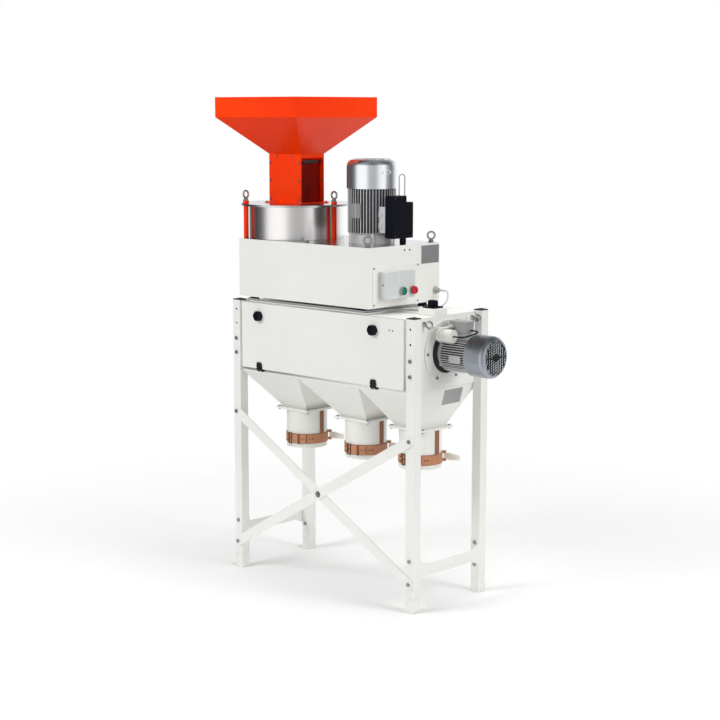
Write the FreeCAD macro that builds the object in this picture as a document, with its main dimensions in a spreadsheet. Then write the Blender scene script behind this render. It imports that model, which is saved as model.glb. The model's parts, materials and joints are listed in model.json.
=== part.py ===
import FreeCAD, Part
import math
import os
import Sketcher

# Stone grain mill on a three-spout sifter, in millimetres.
# X runs along the front, from left to right, Y points to the rear and Z up.
# The origin is on the floor, under the middle of the four legs.

DIMENSIONS = [
    ("sheet_wall", 2, "thickness of the housing and funnel sheet"),
    ("seat_gap", 0.3, "clearance beside curved or loose seats"),
    ("run_gap", 0.08, "radial clearance of a shaft in its bore"),
    ("screw_gap", 0.4, "radial clearance of a screw in its hole"),
    ("stand_length", 975, "outer length over the legs"),
    ("stand_depth", 430, "outer depth over the legs"),
    ("leg_side", 40, "side of the square leg tube"),
    ("leg_wall", 2, "wall of the leg tube"),
    ("leg_height", 1112, "floor to the top of the leg tube"),
    ("plug_rim", 3, "height of a leg plug's rim"),
    ("plug_peak", 4, "height of the plug's low pyramid"),
    ("foot_reach", 32, "how far a foot plate stands out of its leg"),
    ("foot_thick", 4, "thickness of a foot plate"),
    ("foot_bore", 11, "floor bolt hole in a foot plate"),
    ("bar_width", 40, "width of a flat brace bar"),
    ("bar_thick", 5, "thickness of a flat brace bar"),
    ("brace_top", 657, "height of the braces' upper bolts"),
    ("brace_foot", 112, "height of the braces' lower bolts"),
    ("tie_bolt_height", 200, "height of the upper bolt of a side tie"),
    ("tie_web", 46, "height of a side tie between the legs"),
    ("tie_thick", 3, "sheet thickness of a side tie"),
    ("body_bolt_low", 899, "height of the lower bolt from leg to sifter"),
    ("body_bolt_high", 957, "height of the upper bolt from leg to sifter"),
    ("spare_hole_low", 1018, "height of the lower open hole in a front leg"),
    ("spare_hole_high", 1075, "height of the upper open hole in a front leg"),
    ("frame_bolt", 8, "thread of the stand's bolts"),
    ("flange_bolt", 6, "thread of the flange bolts"),
    ("sifter_base", 832, "height of the sifter housing's lower edge"),
    ("sifter_top", 1108, "height of the sifter housing's top"),
    ("sifter_front", 205, "centre to the sifter housing's front and rear"),
    ("divider_first", -130, "X of the divider after the first section"),
    ("divider_second", 197, "X of the divider after the second section"),
    ("sieve_drop", 138, "sifter's top down to the sieve's axis"),
    ("funnel_drop", 164, "height of the three funnels"),
    ("outlet_first", -282, "X of the first outlet"),
    ("outlet_second", 47, "X of the second outlet"),
    ("outlet_third", 333, "X of the third outlet"),
    ("flange_length", 182, "outlet flange along X"),
    ("flange_depth", 176, "outlet flange along Y"),
    ("flange_thick", 4, "thickness of the outlet flanges"),
    ("neck_side", 136, "side of a funnel's square neck"),
    ("spout_bore", 161, "inside diameter of a spout"),
    ("spout_length", 152, "length of a spout below its flange"),
    ("strap_height", 530, "floor to a strap's lower edge"),
    ("strap_width", 40, "width of a leather strap"),
    ("strap_thick", 3, "thickness of the leather"),
    ("hanger_width", 20, "width of the leather hanger above a strap"),
    ("lever_length", 75, "pin to tip of a strap lever"),
    ("lever_thick", 4, "thickness of a strap lever"),
    ("cover_gap", 12.5, "front cover's end to the leg beside it"),
    ("cover_depth", 10, "depth of the front cover's pan"),
    ("cover_strip", 12, "housing strip below the front cover"),
    ("knob_inset_left", 100, "left edge of the cover to the left knob"),
    ("knob_inset_right", 151, "right edge of the cover to the right knob"),
    ("knob_drop", 50, "top of the cover to the knobs"),
    ("knob_radius", 23, "outer radius of a lobed knob"),
    ("hinge_pin", 4, "diameter of a cover hinge pin"),
    ("ring_radius", 122, "outer radius of the sifter motor's ring"),
    ("ring_bore", 80, "inner radius of the sifter motor's ring"),
    ("ring_thick", 6, "thickness of the ring"),
    ("ring_bolt_circle", 109, "radius of the ring's bolt circle"),
    ("adapter_stand", 11, "how far the black adapter stands out"),
    ("fin_depth", 8, "depth of the motors' cooling fins"),
    ("sifter_motor_radius", 79, "cowl radius of the sifter motor"),
    ("sifter_motor_length", 232, "length of the sifter motor"),
    ("sifter_cowl_length", 92, "length of the sifter motor's fan cowl"),
    ("sifter_fin_radius", 71, "fin radius of the sifter motor"),
    ("sifter_box_seat", 78, "motor axis to the sifter motor's terminal box"),
    ("sifter_box_start", 28, "motor's face to its terminal box"),
    ("sifter_box_length", 78, "length of the sifter motor's terminal box"),
    ("sifter_box_width", 46, "width of the sifter motor's terminal box"),
    ("sifter_box_height", 46, "height of the sifter motor's terminal box"),
    ("capacitor_radius", 25, "radius of the capacitor"),
    ("capacitor_length", 66, "length of the capacitor"),
    ("sifter_shaft", 19, "shaft diameter of the sifter motor"),
    ("sieve_radius", 118, "outer radius of the sieve screen"),
    ("reel_radius", 104, "outer radius of the beater reel"),
    ("main_shaft", 30, "diameter of the reel shaft and the mill spindle"),
    ("selector_length", 82, "length of the selector switch's box"),
    ("selector_rise", 36, "height of the selector switch's box"),
    ("selector_plate", 55, "side of the selector's square plate"),
    ("mount_height", 22, "height of a rubber mount"),
    ("mount_radius", 20, "radius of a rubber mount"),
    ("mount_inset", 60, "mill housing's right end to a rubber mount"),
    ("mount_edge", 48, "sifter's left leg to a rubber mount"),
    ("clip_edge", 33, "sifter's left leg to the cable clip"),
    ("mill_left", -459, "X of the mill housing's left end"),
    ("mill_length", 708, "length of the mill housing"),
    ("mill_half_depth", 204, "centre to the mill housing's front"),
    ("mill_height", 230, "height of the mill housing"),
    ("stone_axis", -335, "X of the mill spindle"),
    ("case_radius", 192, "outer radius of the stone case"),
    ("case_wall", 3, "wall of the stone case"),
    ("case_height", 131, "height of the stone case"),
    ("lid_radius", 224, "radius of the stone case's lid"),
    ("lid_thick", 8, "thickness of the lid"),
    ("post_radius", 10, "radius of a clamping post"),
    ("post_circle", 210, "radius of the posts' circle"),
    ("stone_radius", 172, "radius of both stones"),
    ("stone_thick", 50, "thickness of one stone"),
    ("stone_gap", 2, "gap between the two stones"),
    ("stone_eye", 45, "radius of the upper stone's eye"),
    ("spindle_pulley", 112, "outer radius of the spindle's pulley"),
    ("motor_pulley", 38, "outer radius of the motor's pulley"),
    ("groove_depth", 8, "depth of the pulleys' grooves"),
    ("belt_width", 16, "width of one belt"),
    ("belt_pitch", 20, "distance from belt to belt"),
    ("pulley_height", 70, "mill housing's base to the pulleys"),
    ("mill_motor_x", 78, "X of the mill motor's axis"),
    ("mill_motor_radius", 98.5, "cowl radius of the mill motor"),
    ("mill_motor_length", 323, "height of the mill motor"),
    ("mill_cowl_length", 112, "height of the mill motor's fan cowl"),
    ("mill_fin_radius", 94, "fin radius of the mill motor"),
    ("mill_box_seat", 117, "mill motor's axis to its terminal box"),
    ("mill_box_depth", 49, "depth of the black terminal box"),
    ("mill_box_width", 110, "width of the black terminal box"),
    ("mill_box_height", 162, "height of the black terminal box"),
    ("mill_shaft", 28, "shaft diameter of the mill motor"),
    ("chute_length", 181, "feed chute along X"),
    ("chute_depth", 131, "feed chute along Y"),
    ("chute_height", 177, "height of the feed chute"),
    ("chute_recess", 20, "recess of the chute's side walls"),
    ("hopper_side", 459, "side of the hopper's rim"),
    ("hopper_rim", 79, "height of the hopper's upright rim"),
    ("hopper_neck", 15, "height of the hopper's upright neck"),
    ("hopper_slope", 146, "height of the hopper's sloping part"),
    ("duct_length", 70, "meal duct along X"),
    ("duct_depth", 38, "meal duct along Y"),
    ("duct_inset", 164, "centre to the meal duct's middle along Y"),
    ("panel_stand", 40, "how far the switch box stands out"),
    ("panel_width", 160, "width of the switch box"),
    ("panel_height", 100, "height of the switch box"),
    ("button_radius", 13, "radius of a push button"),
    ("button_bezel", 15.5, "outer radius of a button's bezel"),
    ("button_stand", 9, "how far a button stands out of its bezel's seat"),
    ("eye_ring", 14, "radius of a lifting eye's ring to its wire"),
    ("eye_wire", 4, "radius of a lifting eye's wire"),
    ("cable_radius", 3.5, "radius of the control cable"),
    ("lead_radius", 3, "radius of the thinner leads"),
]

doc = FreeCAD.newDocument("StoneGrainMill")
sheet = doc.addObject("Spreadsheet::Sheet", "Sizes")
for row, (alias, number, note) in enumerate(DIMENSIONS, start=1):
    sheet.set("A%d" % row, alias)
    sheet.set("B%d" % row, str(number))
    sheet.set("C%d" % row, note)
    sheet.setAlias("B%d" % row, alias)
doc.recompute()

nodes = []


class Size:
    """A size with its present number and the expression that keeps it current."""

    def __init__(self, number, text):
        self.number = number
        self.text = text

    def joined(self, sign, other, number):
        return Size(number, "(%s %s %s)" % (self.text, sign, size(other).text))

    def __add__(self, other):
        return self.joined("+", other, self.number + size(other).number)

    def __sub__(self, other):
        return self.joined("-", other, self.number - size(other).number)

    def __mul__(self, other):
        return self.joined("*", other, self.number * size(other).number)

    def __truediv__(self, other):
        return self.joined("/", other, self.number / size(other).number)

    def __radd__(self, other):
        return size(other) + self

    def __rsub__(self, other):
        return size(other) - self

    def __rmul__(self, other):
        return size(other) * self

    def __neg__(self):
        return self * -1


def size(value):
    return value if isinstance(value, Size) else Size(float(value), "(%r)" % float(value))


def dim(alias):
    return Size(float(sheet.get(alias)), "Sizes." + alias)


def root(value):
    return Size(math.sqrt(value.number), "sqrt(%s)" % value.text)


def slope(rise, run):
    angle = math.degrees(math.atan2(rise.number, run.number))
    return Size(angle, "atan2(%s; %s)" % (rise.text, run.text))


def bind(obj, name, value):
    obj.setExpression(name, size(value).text)


TURNS = {
    "z": FreeCAD.Rotation(),
    "x": FreeCAD.Rotation(FreeCAD.Vector(0, 1, 0), 90),
    "y": FreeCAD.Rotation(FreeCAD.Vector(1, 0, 0), -90),
}


def place(obj, x, y, z, rotation=None):
    place_at = FreeCAD.Vector(size(x).number, size(y).number, size(z).number)
    obj.Placement = FreeCAD.Placement(place_at, rotation or FreeCAD.Rotation())
    for axis, value in (("x", x), ("y", y), ("z", z)):
        bind(obj, "Placement.Base." + axis, value)
    return obj


def box(name, x, y, z):
    """A box between two limits along each axis."""
    obj = doc.addObject("Part::Box", name)
    for edge, limits in (("Length", x), ("Width", y), ("Height", z)):
        bind(obj, edge, size(limits[1]) - limits[0])
    return place(obj, x[0], y[0], z[0])


def cylinder(name, radius, start, length, axis="z"):
    """A cylinder that runs along a main axis from its start point."""
    obj = doc.addObject("Part::Cylinder", name)
    bind(obj, "Radius", radius)
    bind(obj, "Height", length)
    return place(obj, *start, TURNS[axis])


def cone(name, radius_low, radius_high, start, length, axis="z"):
    obj = doc.addObject("Part::Cone", name)
    bind(obj, "Radius1", radius_low)
    bind(obj, "Radius2", radius_high)
    bind(obj, "Height", length)
    return place(obj, *start, TURNS[axis])


def hexagon(name, across, start, length, axis="z"):
    """A hexagon head, given by its size across the flats."""
    obj = doc.addObject("Part::Prism", name)
    obj.Polygon = 6
    bind(obj, "Circumradius", size(across) * 0.57735)
    bind(obj, "Height", length)
    return place(obj, *start, TURNS[axis])


def frustum(name, low, z_low, high, z_high):
    """A sloping block between two rectangles (x0, x1, y0, y1) at two heights."""
    obj = doc.addObject("Part::Wedge", name)
    limits = {
        "Xmin": low[0], "Xmax": low[1], "Zmin": -size(low[3]), "Zmax": -size(low[2]),
        "X2min": high[0], "X2max": high[1], "Z2min": -size(high[3]), "Z2max": -size(high[2]),
        "Ymin": z_low, "Ymax": z_high,
    }
    for name_of_limit, value in limits.items():
        setattr(obj, name_of_limit, size(value).number)
        bind(obj, name_of_limit, value)
    obj.Placement.Rotation = FreeCAD.Rotation(FreeCAD.Vector(1, 0, 0), 90)
    return obj


def fuse(name, parts):
    obj = doc.addObject("Part::MultiFuse", name)
    obj.Shapes = parts
    return obj


def group(name, parts):
    """Separate solids that share one node."""
    obj = doc.addObject("Part::Compound", name)
    obj.Links = parts
    return obj


def cut(name, base, tools):
    obj = doc.addObject("Part::Cut", name)
    obj.Base = base
    obj.Tool = tools[0] if len(tools) == 1 else group(name + "_tools", tools)
    return obj


def common(name, first, second):
    obj = doc.addObject("Part::Common", name)
    obj.Base = first
    obj.Tool = second
    return obj


def hollow(name, limits, walls):
    """A box shell: outer limits and, per side, the wall left standing."""
    inner = [(size(low) + walls[2 * i], size(high) - walls[2 * i + 1])
             for i, (low, high) in enumerate(limits)]
    return cut(name, box(name + "_outer", *limits), [box(name + "_inner", *inner)])


def sheets_of(name, whole, regions):
    """Parts a box shell into the flat sheets that it is welded from, one per region."""
    return [common("%s_%s" % (name, side), whole, box("%s_%s_region" % (name, side), *limits))
            for side, limits in regions]


def pipe(name, outer, inner, start, length, axis="z"):
    x, y, z = [size(value) for value in start]
    before = {"x": (x - 1, y, z), "y": (x, y - 1, z), "z": (x, y, z - 1)}[axis]
    bore = cylinder(name + "_bore", inner, before, size(length) + 2, axis)
    return cut(name, cylinder(name + "_outer", outer, start, length, axis), [bore])


def outline(body, plane, points, name):
    """A closed sketch whose corners stand at the given sizes from the body's origin."""
    sketch = body.newObject("Sketcher::SketchObject", name)
    for feature in body.Origin.OriginFeatures:
        if feature.Role == plane + "_Plane":
            sketch.AttachmentSupport = [(feature, "")]
    sketch.MapMode = "FlatFace"
    corners = [FreeCAD.Vector(size(x).number, size(y).number, 0) for x, y in points]
    count = len(corners)
    for index in range(count):
        sketch.addGeometry(Part.LineSegment(corners[index], corners[(index + 1) % count]))
    for index, (x, y) in enumerate(points):
        sketch.addConstraint(Sketcher.Constraint("Coincident", index, 2, (index + 1) % count, 1))
        for kind, value in (("DistanceX", x), ("DistanceY", y)):
            number = size(value).number
            place_of = sketch.addConstraint(Sketcher.Constraint(kind, -1, 1, index, 1, number))
            if isinstance(value, Size):
                bind(sketch, "Constraints[%d]" % place_of, value)
    return sketch


def circle(body, plane, radius, name, x=0, y=0):
    """A sketch with one circle."""
    sketch = body.newObject("Sketcher::SketchObject", name)
    for feature in body.Origin.OriginFeatures:
        if feature.Role == plane + "_Plane":
            sketch.AttachmentSupport = [(feature, "")]
    sketch.MapMode = "FlatFace"
    centre = FreeCAD.Vector(size(x).number, size(y).number, 0)
    sketch.addGeometry(Part.Circle(centre, FreeCAD.Vector(0, 0, 1), size(radius).number))
    for kind, value in (("DistanceX", x), ("DistanceY", y)):
        place_of = sketch.addConstraint(
            Sketcher.Constraint(kind, -1, 1, 0, 3, size(value).number))
        bind(sketch, "Constraints[%d]" % place_of, value)
    place_of = sketch.addConstraint(Sketcher.Constraint("Radius", 0, size(radius).number))
    bind(sketch, "Constraints[%d]" % place_of, radius)
    return sketch


def new_body(name):
    return doc.addObject("PartDesign::Body", name)


def pad(body, sketch, length, midplane=False, reverse=False):
    feature = body.newObject("PartDesign::Pad", sketch.Name + "_pad")
    feature.Profile = sketch
    bind(feature, "Length", length)
    feature.Midplane = midplane
    feature.Reversed = reverse
    body.Tip = feature
    return feature


def prism(name, plane, points, length, midplane=True, reverse=False):
    """A polygon drawn on one of the main planes and padded."""
    body = new_body(name)
    pad(body, outline(body, plane, points, name + "_outline"), length, midplane, reverse)
    return body


def revolved(name, points):
    """A profile of (radius, height) corners, turned about the vertical axis."""
    body = new_body(name)
    sketch = outline(body, "XZ", points, name + "_profile")
    feature = body.newObject("PartDesign::Revolution", name + "_turn")
    feature.Profile = sketch
    feature.ReferenceAxis = (sketch, ["V_Axis"])
    feature.Angle = 360
    body.Tip = feature
    return body


def polar(body, feature, count, axis_role):
    """Repeats a feature round one of the body's axes."""
    pattern = body.newObject("PartDesign::PolarPattern", feature.Name + "_round")
    pattern.Originals = [feature]
    for candidate in body.Origin.OriginFeatures:
        if candidate.Role == axis_role:
            pattern.Axis = (candidate, [""])
    pattern.Angle = 360
    pattern.Occurrences = count
    body.Tip = pattern
    return pattern


def screw(name, thread, start, joint, axis, sign, nut=True):
    """A hexagon screw: its head lies on the start point and a nut behind the joint."""
    thread = size(thread)
    head = thread * 0.65
    across = thread * 1.65
    tail = head + 2 if nut else thread * 1.5
    steps = {"x": (1, 0, 0), "y": (0, 1, 0), "z": (0, 0, 1)}[axis]

    def along(distance):
        return tuple(size(value) + distance * step if step else value
                     for value, step in zip(start, steps))

    forward = sign > 0
    parts = [
        hexagon(name + "_head", across, along(-head if forward else size(0)), head, axis),
        cylinder(name + "_shank", thread / 2, along(size(0) if forward else -(joint + tail)),
                 joint + tail, axis),
    ]
    if nut:
        nut_start = size(joint) if forward else -(joint + head)
        parts.append(hexagon(name + "_nut", across, along(nut_start), head, axis))
    return fuse(name, parts)


# Stand: four square tubes, two crossed flat bars in front and a folded tie at each side.
leg_side = dim("leg_side")
leg_wall = dim("leg_wall")
leg_x = (dim("stand_length") - leg_side) / 2
leg_y = (dim("stand_depth") - leg_side) / 2
leg_face = dim("stand_depth") / 2
leg_back = leg_face - leg_side
frame_bolt = dim("frame_bolt")
bolt_hole = frame_bolt / 2 + dim("screw_gap")
brace_top = dim("brace_top")
brace_foot = dim("brace_foot")
tie_bolt = dim("tie_bolt_height")
bar_thick = dim("bar_thick")
tie_thick = dim("tie_thick")


def make_leg(side, x_sign, end, y_sign):
    """A leg tube with its bolt holes; the left legs stand on a foot plate."""
    name = "leg_%s_%s" % (end, side)
    x = leg_x * x_sign
    y = leg_y * y_sign
    half = leg_side / 2
    base = dim("foot_thick") if x_sign < 0 else size(0)
    tube = hollow(name + "_tube",
                  [(x - half, x + half), (y - half, y + half), (base, dim("leg_height"))],
                  [leg_wall, leg_wall, leg_wall, leg_wall, -1, -1])
    holes = []
    for number, height in enumerate((brace_foot, tie_bolt)):
        holes.append(cylinder("%s_through_%d" % (name, number), bolt_hole,
                              (x, y - half - 1, height), leg_side + 2, "y"))
    if y_sign < 0:
        heights = (brace_top, dim("body_bolt_low"), dim("body_bolt_high"),
                   dim("spare_hole_low"), dim("spare_hole_high"))
        for number, height in enumerate(heights):
            holes.append(cylinder("%s_front_%d" % (name, number), bolt_hole,
                                  (x, y - half - 1, height), leg_wall + 2, "y"))
    else:
        holes.append(cylinder(name + "_front", bolt_hole, (x, y - half - 1, dim("spare_hole_high")),
                              leg_wall + 2, "y"))
    if x_sign > 0:
        return cut(name, tube, holes)
    plate = box(name + "_plate", (x - half - dim("foot_reach"), x + half),
                (y - half, y + half), (0, base))
    anchor = cylinder(name + "_anchor", dim("foot_bore") / 2,
                      (x - half - dim("foot_reach") / 2, y, -1), base + 2)
    return cut(name, fuse(name + "_on_plate", [tube, plate]), holes + [anchor])


for side, x_sign in (("left", -1), ("right", 1)):
    for end, y_sign in (("front", -1), ("rear", 1)):
        nodes.append(make_leg(side, x_sign, end, y_sign))

plugs = []
for number, (x_sign, y_sign) in enumerate(((-1, -1), (-1, 1), (1, -1), (1, 1))):
    x, y, half = leg_x * x_sign, leg_y * y_sign, leg_side / 2
    inner = half - leg_wall - dim("seat_gap") / 3
    top = dim("leg_height")
    rim_top = top + dim("plug_rim")
    plug_name = "plug_%d" % number
    plugs.append(fuse(plug_name, [
        box(plug_name + "_rim", (x - half, x + half), (y - half, y + half), (top, rim_top)),
        box(plug_name + "_stem", (x - inner, x + inner), (y - inner, y + inner), (top - 15, top)),
        frustum(plug_name + "_peak", (x - half, x + half, y - half, y + half), rim_top,
                (x - 4, x + 4, y - 4, y + 4), rim_top + dim("plug_peak")),
    ]))
nodes.append(group("leg_plugs", plugs))

bar_reach = root((leg_x * 2) * (leg_x * 2) + (brace_top - brace_foot) * (brace_top - brace_foot))
bar_angle = slope(brace_top - brace_foot, leg_x * 2)
bar_half = bar_reach / 2
bar_width = dim("bar_width")


def bar_plan(name, thickness):
    """The bar's outline with round ends, along X about its middle, thick in -Y."""
    return fuse(name, [
        box(name + "_middle", (-bar_half, bar_half), (-thickness, 0), (-bar_width / 2, bar_width / 2)),
        cylinder(name + "_left", bar_width / 2, (-bar_half, -thickness, 0), thickness, "y"),
        cylinder(name + "_right", bar_width / 2, (bar_half, -thickness, 0), thickness, "y"),
    ])


def bar_holes(name, depth):
    return [cylinder("%s_hole_%d" % (name, number), bolt_hole, (x, -depth - 1, 0), depth + 2, "y")
            for number, x in enumerate((-bar_half, 0, bar_half))]


def lean(obj, angle):
    """Leans a finished bar in the plane of the front legs."""
    place(obj, 0, -leg_face, (brace_top + brace_foot) / 2)
    obj.Placement.Rotation = FreeCAD.Rotation(FreeCAD.Vector(0, 1, 0), size(angle).number)
    bind(obj, "Placement.Rotation.Angle", angle)
    return obj


brace_a = cut("front_brace_a", bar_plan("brace_a_bar", bar_thick), bar_holes("brace_a", bar_thick))
brace_a = lean(brace_a, bar_angle)
# The bars end flush with the outer sides of the legs.
stand_end = leg_x + leg_side / 2
bar_trims = [box("bar_trim_" + side, limits, (-leg_face - bar_thick * 3, -leg_face + 1),
                 (0, brace_top + bar_width))
             for side, limits in (("left", (-stand_end - bar_width, -stand_end)),
                                  ("right", (stand_end, stand_end + bar_width)))]

# The second bar is joggled by its own thickness where it passes over the first.
joggle_start = bar_width * 1.5
joggle_end = joggle_start + bar_thick * 5
bar_tip = bar_half + bar_width
joggle = prism("brace_b_joggle", "XY", [
    (-bar_tip, 0), (-joggle_end, 0), (-joggle_start, -bar_thick), (joggle_start, -bar_thick),
    (joggle_end, 0), (bar_tip, 0), (bar_tip, -bar_thick), (joggle_end, -bar_thick),
    (joggle_start, bar_thick * -2), (-joggle_start, bar_thick * -2), (-joggle_end, -bar_thick),
    (-bar_tip, -bar_thick)], bar_width * 2)
brace_b = cut("front_brace_b", common("brace_b_bar", joggle, bar_plan("brace_b_plan", bar_thick * 2)),
              bar_holes("brace_b", bar_thick * 2))
nodes.append(group("front_braces", [
    cut("front_brace_a_trimmed", brace_a, bar_trims),
    cut("front_brace_b_trimmed", lean(brace_b, -bar_angle), bar_trims)]))

ties = []
for side, x_sign in (("left", -1), ("right", 1)):
    name = "side_tie_" + side
    x = leg_x * x_sign
    middle = (brace_foot + tie_bolt) / 2
    low = middle - dim("tie_web") / 2
    high = middle + dim("tie_web") / 2
    flare = dim("tie_web") * 0.35
    start = leg_back - tie_thick
    bend = start - dim("tie_web")
    web = prism(name + "_web", "YZ", [
        (-start, low - flare), (-bend, low), (bend, low), (start, low - flare),
        (start, high + flare), (bend, high), (-bend, high), (-start, high + flare)], tie_thick)
    place(web, x, 0, 0)
    tabs = [box("%s_tab_%d" % (name, number),
                (x - leg_side / 2, x + leg_side / 2),
                (leg_back * y_sign - tie_thick * (y_sign > 0), leg_back * y_sign + tie_thick * (y_sign < 0)),
                (brace_foot - frame_bolt * 1.5, tie_bolt + frame_bolt * 1.5))
            for number, y_sign in enumerate((-1, 1))]
    holes = []
    for number, (y_sign, height) in enumerate(((-1, brace_foot), (-1, tie_bolt),
                                               (1, brace_foot), (1, tie_bolt))):
        holes.append(cylinder("%s_hole_%d" % (name, number), bolt_hole,
                              (x, leg_back * y_sign - tie_thick - 1, height), tie_thick * 2 + 2, "y"))
    # The web stands beside the bolts, at the tie's outer edge.
    place(web, x + (leg_side / 2 - tie_thick / 2) * x_sign, 0, 0)
    ties.append(cut(name, fuse(name + "_folded", [web] + tabs), holes))
nodes.append(group("side_ties", ties))

bolts = []
for side, x_sign in (("left", -1), ("right", 1)):
    x = leg_x * x_sign
    tag = "bolt_" + side
    # Long bolts pass through the legs, short ones have their nut inside the tube.
    bolts.append(screw(tag + "_foot", frame_bolt, (x, -leg_face - bar_thick, brace_foot),
                       leg_side + bar_thick + tie_thick, "y", 1))
    bolts.append(screw(tag + "_tie", frame_bolt, (x, -leg_face, tie_bolt), leg_side + tie_thick,
                       "y", 1))
    bolts.append(screw(tag + "_top", frame_bolt, (x, -leg_face - bar_thick, brace_top),
                       bar_thick + leg_wall, "y", 1))
    bolts.append(screw(tag + "_spare", frame_bolt, (x, leg_back, dim("spare_hole_high")), leg_wall,
                       "y", 1))
    for number, height in enumerate((brace_foot, tie_bolt)):
        bolts.append(screw("%s_rear_%d" % (tag, number), frame_bolt, (x, leg_back - tie_thick, height),
                           leg_side + tie_thick, "y", 1))
    for number, height in enumerate((dim("body_bolt_low"), dim("body_bolt_high"))):
        bolts.append(screw("%s_body_%d" % (tag, number), frame_bolt, (x, -leg_face, height),
                           leg_wall, "y", 1))
bolts.append(screw("bolt_cross", frame_bolt, (0, -leg_face - bar_thick * 2, (brace_top + brace_foot) / 2),
                   bar_thick * 2, "y", 1))

# Sifter housing: a sheet box between the legs, open below to the funnels and open in front.
wall = dim("sheet_wall")
base = dim("sifter_base")
top = dim("sifter_top")
front = dim("sifter_front")
sieve_z = top - dim("sieve_drop")
inside = leg_x - leg_side / 2 - 0.5
end_face = inside + 8
end_depth = leg_back - 0.5
cover_half = leg_x - leg_side / 2 - dim("cover_gap")
cover_low = base + dim("cover_strip")
window = 14

shell_outer = fuse("sifter_outer", [
    box("sifter_outer_long", (-inside, inside), (-front, front), (base, top)),
    box("sifter_outer_ends", (-end_face, end_face), (-end_depth, end_depth), (base, top)),
])
shell_cuts = [box("sifter_inside", (-inside + wall, inside - wall), (-front + wall, front - wall),
                  (base - 1, top - wall))]
shell_cuts.append(box("sifter_end_left", (-end_face + wall, -inside + wall + 1),
                      (-end_depth + wall, end_depth - wall), (base - 1, top - wall)))
shell_cuts.append(box("sifter_end_right", (inside - wall - 1, end_face - wall),
                      (-end_depth + wall, end_depth - wall), (base - 1, top - wall)))
knob_z = top - 1 - dim("knob_drop")
shell_cuts.append(box("sifter_window", (-cover_half + window, cover_half - window),
                      (-front - 1, -front + wall + 1), (cover_low + window, knob_z - 20)))
shell_cuts.append(cylinder("sifter_motor_hole", dim("ring_bore"), (end_face - wall - 1, 0, sieve_z),
                           wall + 2, "x"))
shell_cuts.append(cylinder("sifter_shaft_hole", dim("main_shaft") / 2 + 4,
                           (-end_face - 1, 0, sieve_z), wall + 2, "x"))
duct_x = dim("duct_length") / 2
duct_y = (dim("duct_inset") - dim("duct_depth") / 2, dim("duct_inset") + dim("duct_depth") / 2)
stone_x = dim("stone_axis")
shell_cuts.append(box("sifter_inlet", (stone_x - duct_x, stone_x + duct_x), duct_y,
                      (top - wall - 1, top + 1)))
knob_xs = (-cover_half + dim("knob_inset_left"), cover_half - dim("knob_inset_right"))
stud = 4
stud_room = 5.5
for number, x in enumerate(knob_xs):
    shell_cuts.append(cylinder("sifter_stud_hole_%d" % number, stud_room, (x, -front - 1, knob_z),
                               wall + 2, "y"))
ring_places = []
for angle in range(0, 360, 60):
    turn = math.radians(angle)
    ring_places.append((angle, (dim("ring_bolt_circle") * math.cos(turn),
                                sieve_z + dim("ring_bolt_circle") * math.sin(turn))))
for angle, (y, z) in ring_places:
    shell_cuts.append(cylinder("sifter_ring_hole_%d" % angle,
                               dim("flange_bolt") / 2 + dim("screw_gap"),
                               (end_face - wall - 1, y, z), wall + 2, "x"))
bracket_thick = 4
eye_height = top - 25
eye_ys = (-leg_back + 51, end_depth - 22)
eye_stud = 5
bracket = box("sifter_bracket", (end_face - 0.5, end_face + bracket_thick),
              (end_depth - 54, end_depth), (eye_height - 66, eye_height + 9))
eye_hole = dim("screw_gap") + eye_stud
for number, y in enumerate(eye_ys):
    shell_cuts.append(cylinder("sifter_eye_hole_%d" % number, eye_hole,
                               (end_face - wall - 1, y, eye_height), wall + bracket_thick + 2, "x"))
shell = cut("sifter_shell", fuse("sifter_blank", [shell_outer, bracket]), shell_cuts)
between = (-inside + wall, inside - wall)
front_strip = (-front - 1, -front + wall)
window_z = (cover_low + window, knob_z - 20)
sheets = sheets_of("sifter_sheet", shell, [
    ("top", ((-end_face - 1, end_face + 1), (-front - 1, front + 1), (top - wall, top + 1))),
    ("rear", (between, (front - wall, front + 1), (base - 1, top - wall))),
    ("left", ((-end_face - 1, -inside + wall), (-front - 1, front + 1), (base - 1, top - wall))),
    ("right", ((inside - wall, end_face + bracket_thick + 1), (-front - 1, front + 1),
               (base - 1, top - wall))),
    ("front_top", (between, front_strip, (window_z[1], top - wall))),
    ("front_low", (between, front_strip, (base - 1, window_z[0]))),
    ("front_left", ((-inside + wall, -cover_half + window), front_strip, window_z)),
    ("front_right", ((cover_half - window, inside - wall), front_strip, window_z)),
])
for number, x in enumerate((dim("divider_first"), dim("divider_second"))):
    name = "sifter_divider_%d" % number
    plate = box(name + "_plate", (x - wall / 2, x + wall / 2), (-front + wall, front - wall),
                (base, top - wall))
    sheets.append(cut(name, plate, [
        cylinder(name + "_hole", dim("sieve_radius") + dim("seat_gap"), (x - wall, 0, sieve_z),
                 wall * 2, "x")]))
nodes.append(group("sifter_housing", sheets))

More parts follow.
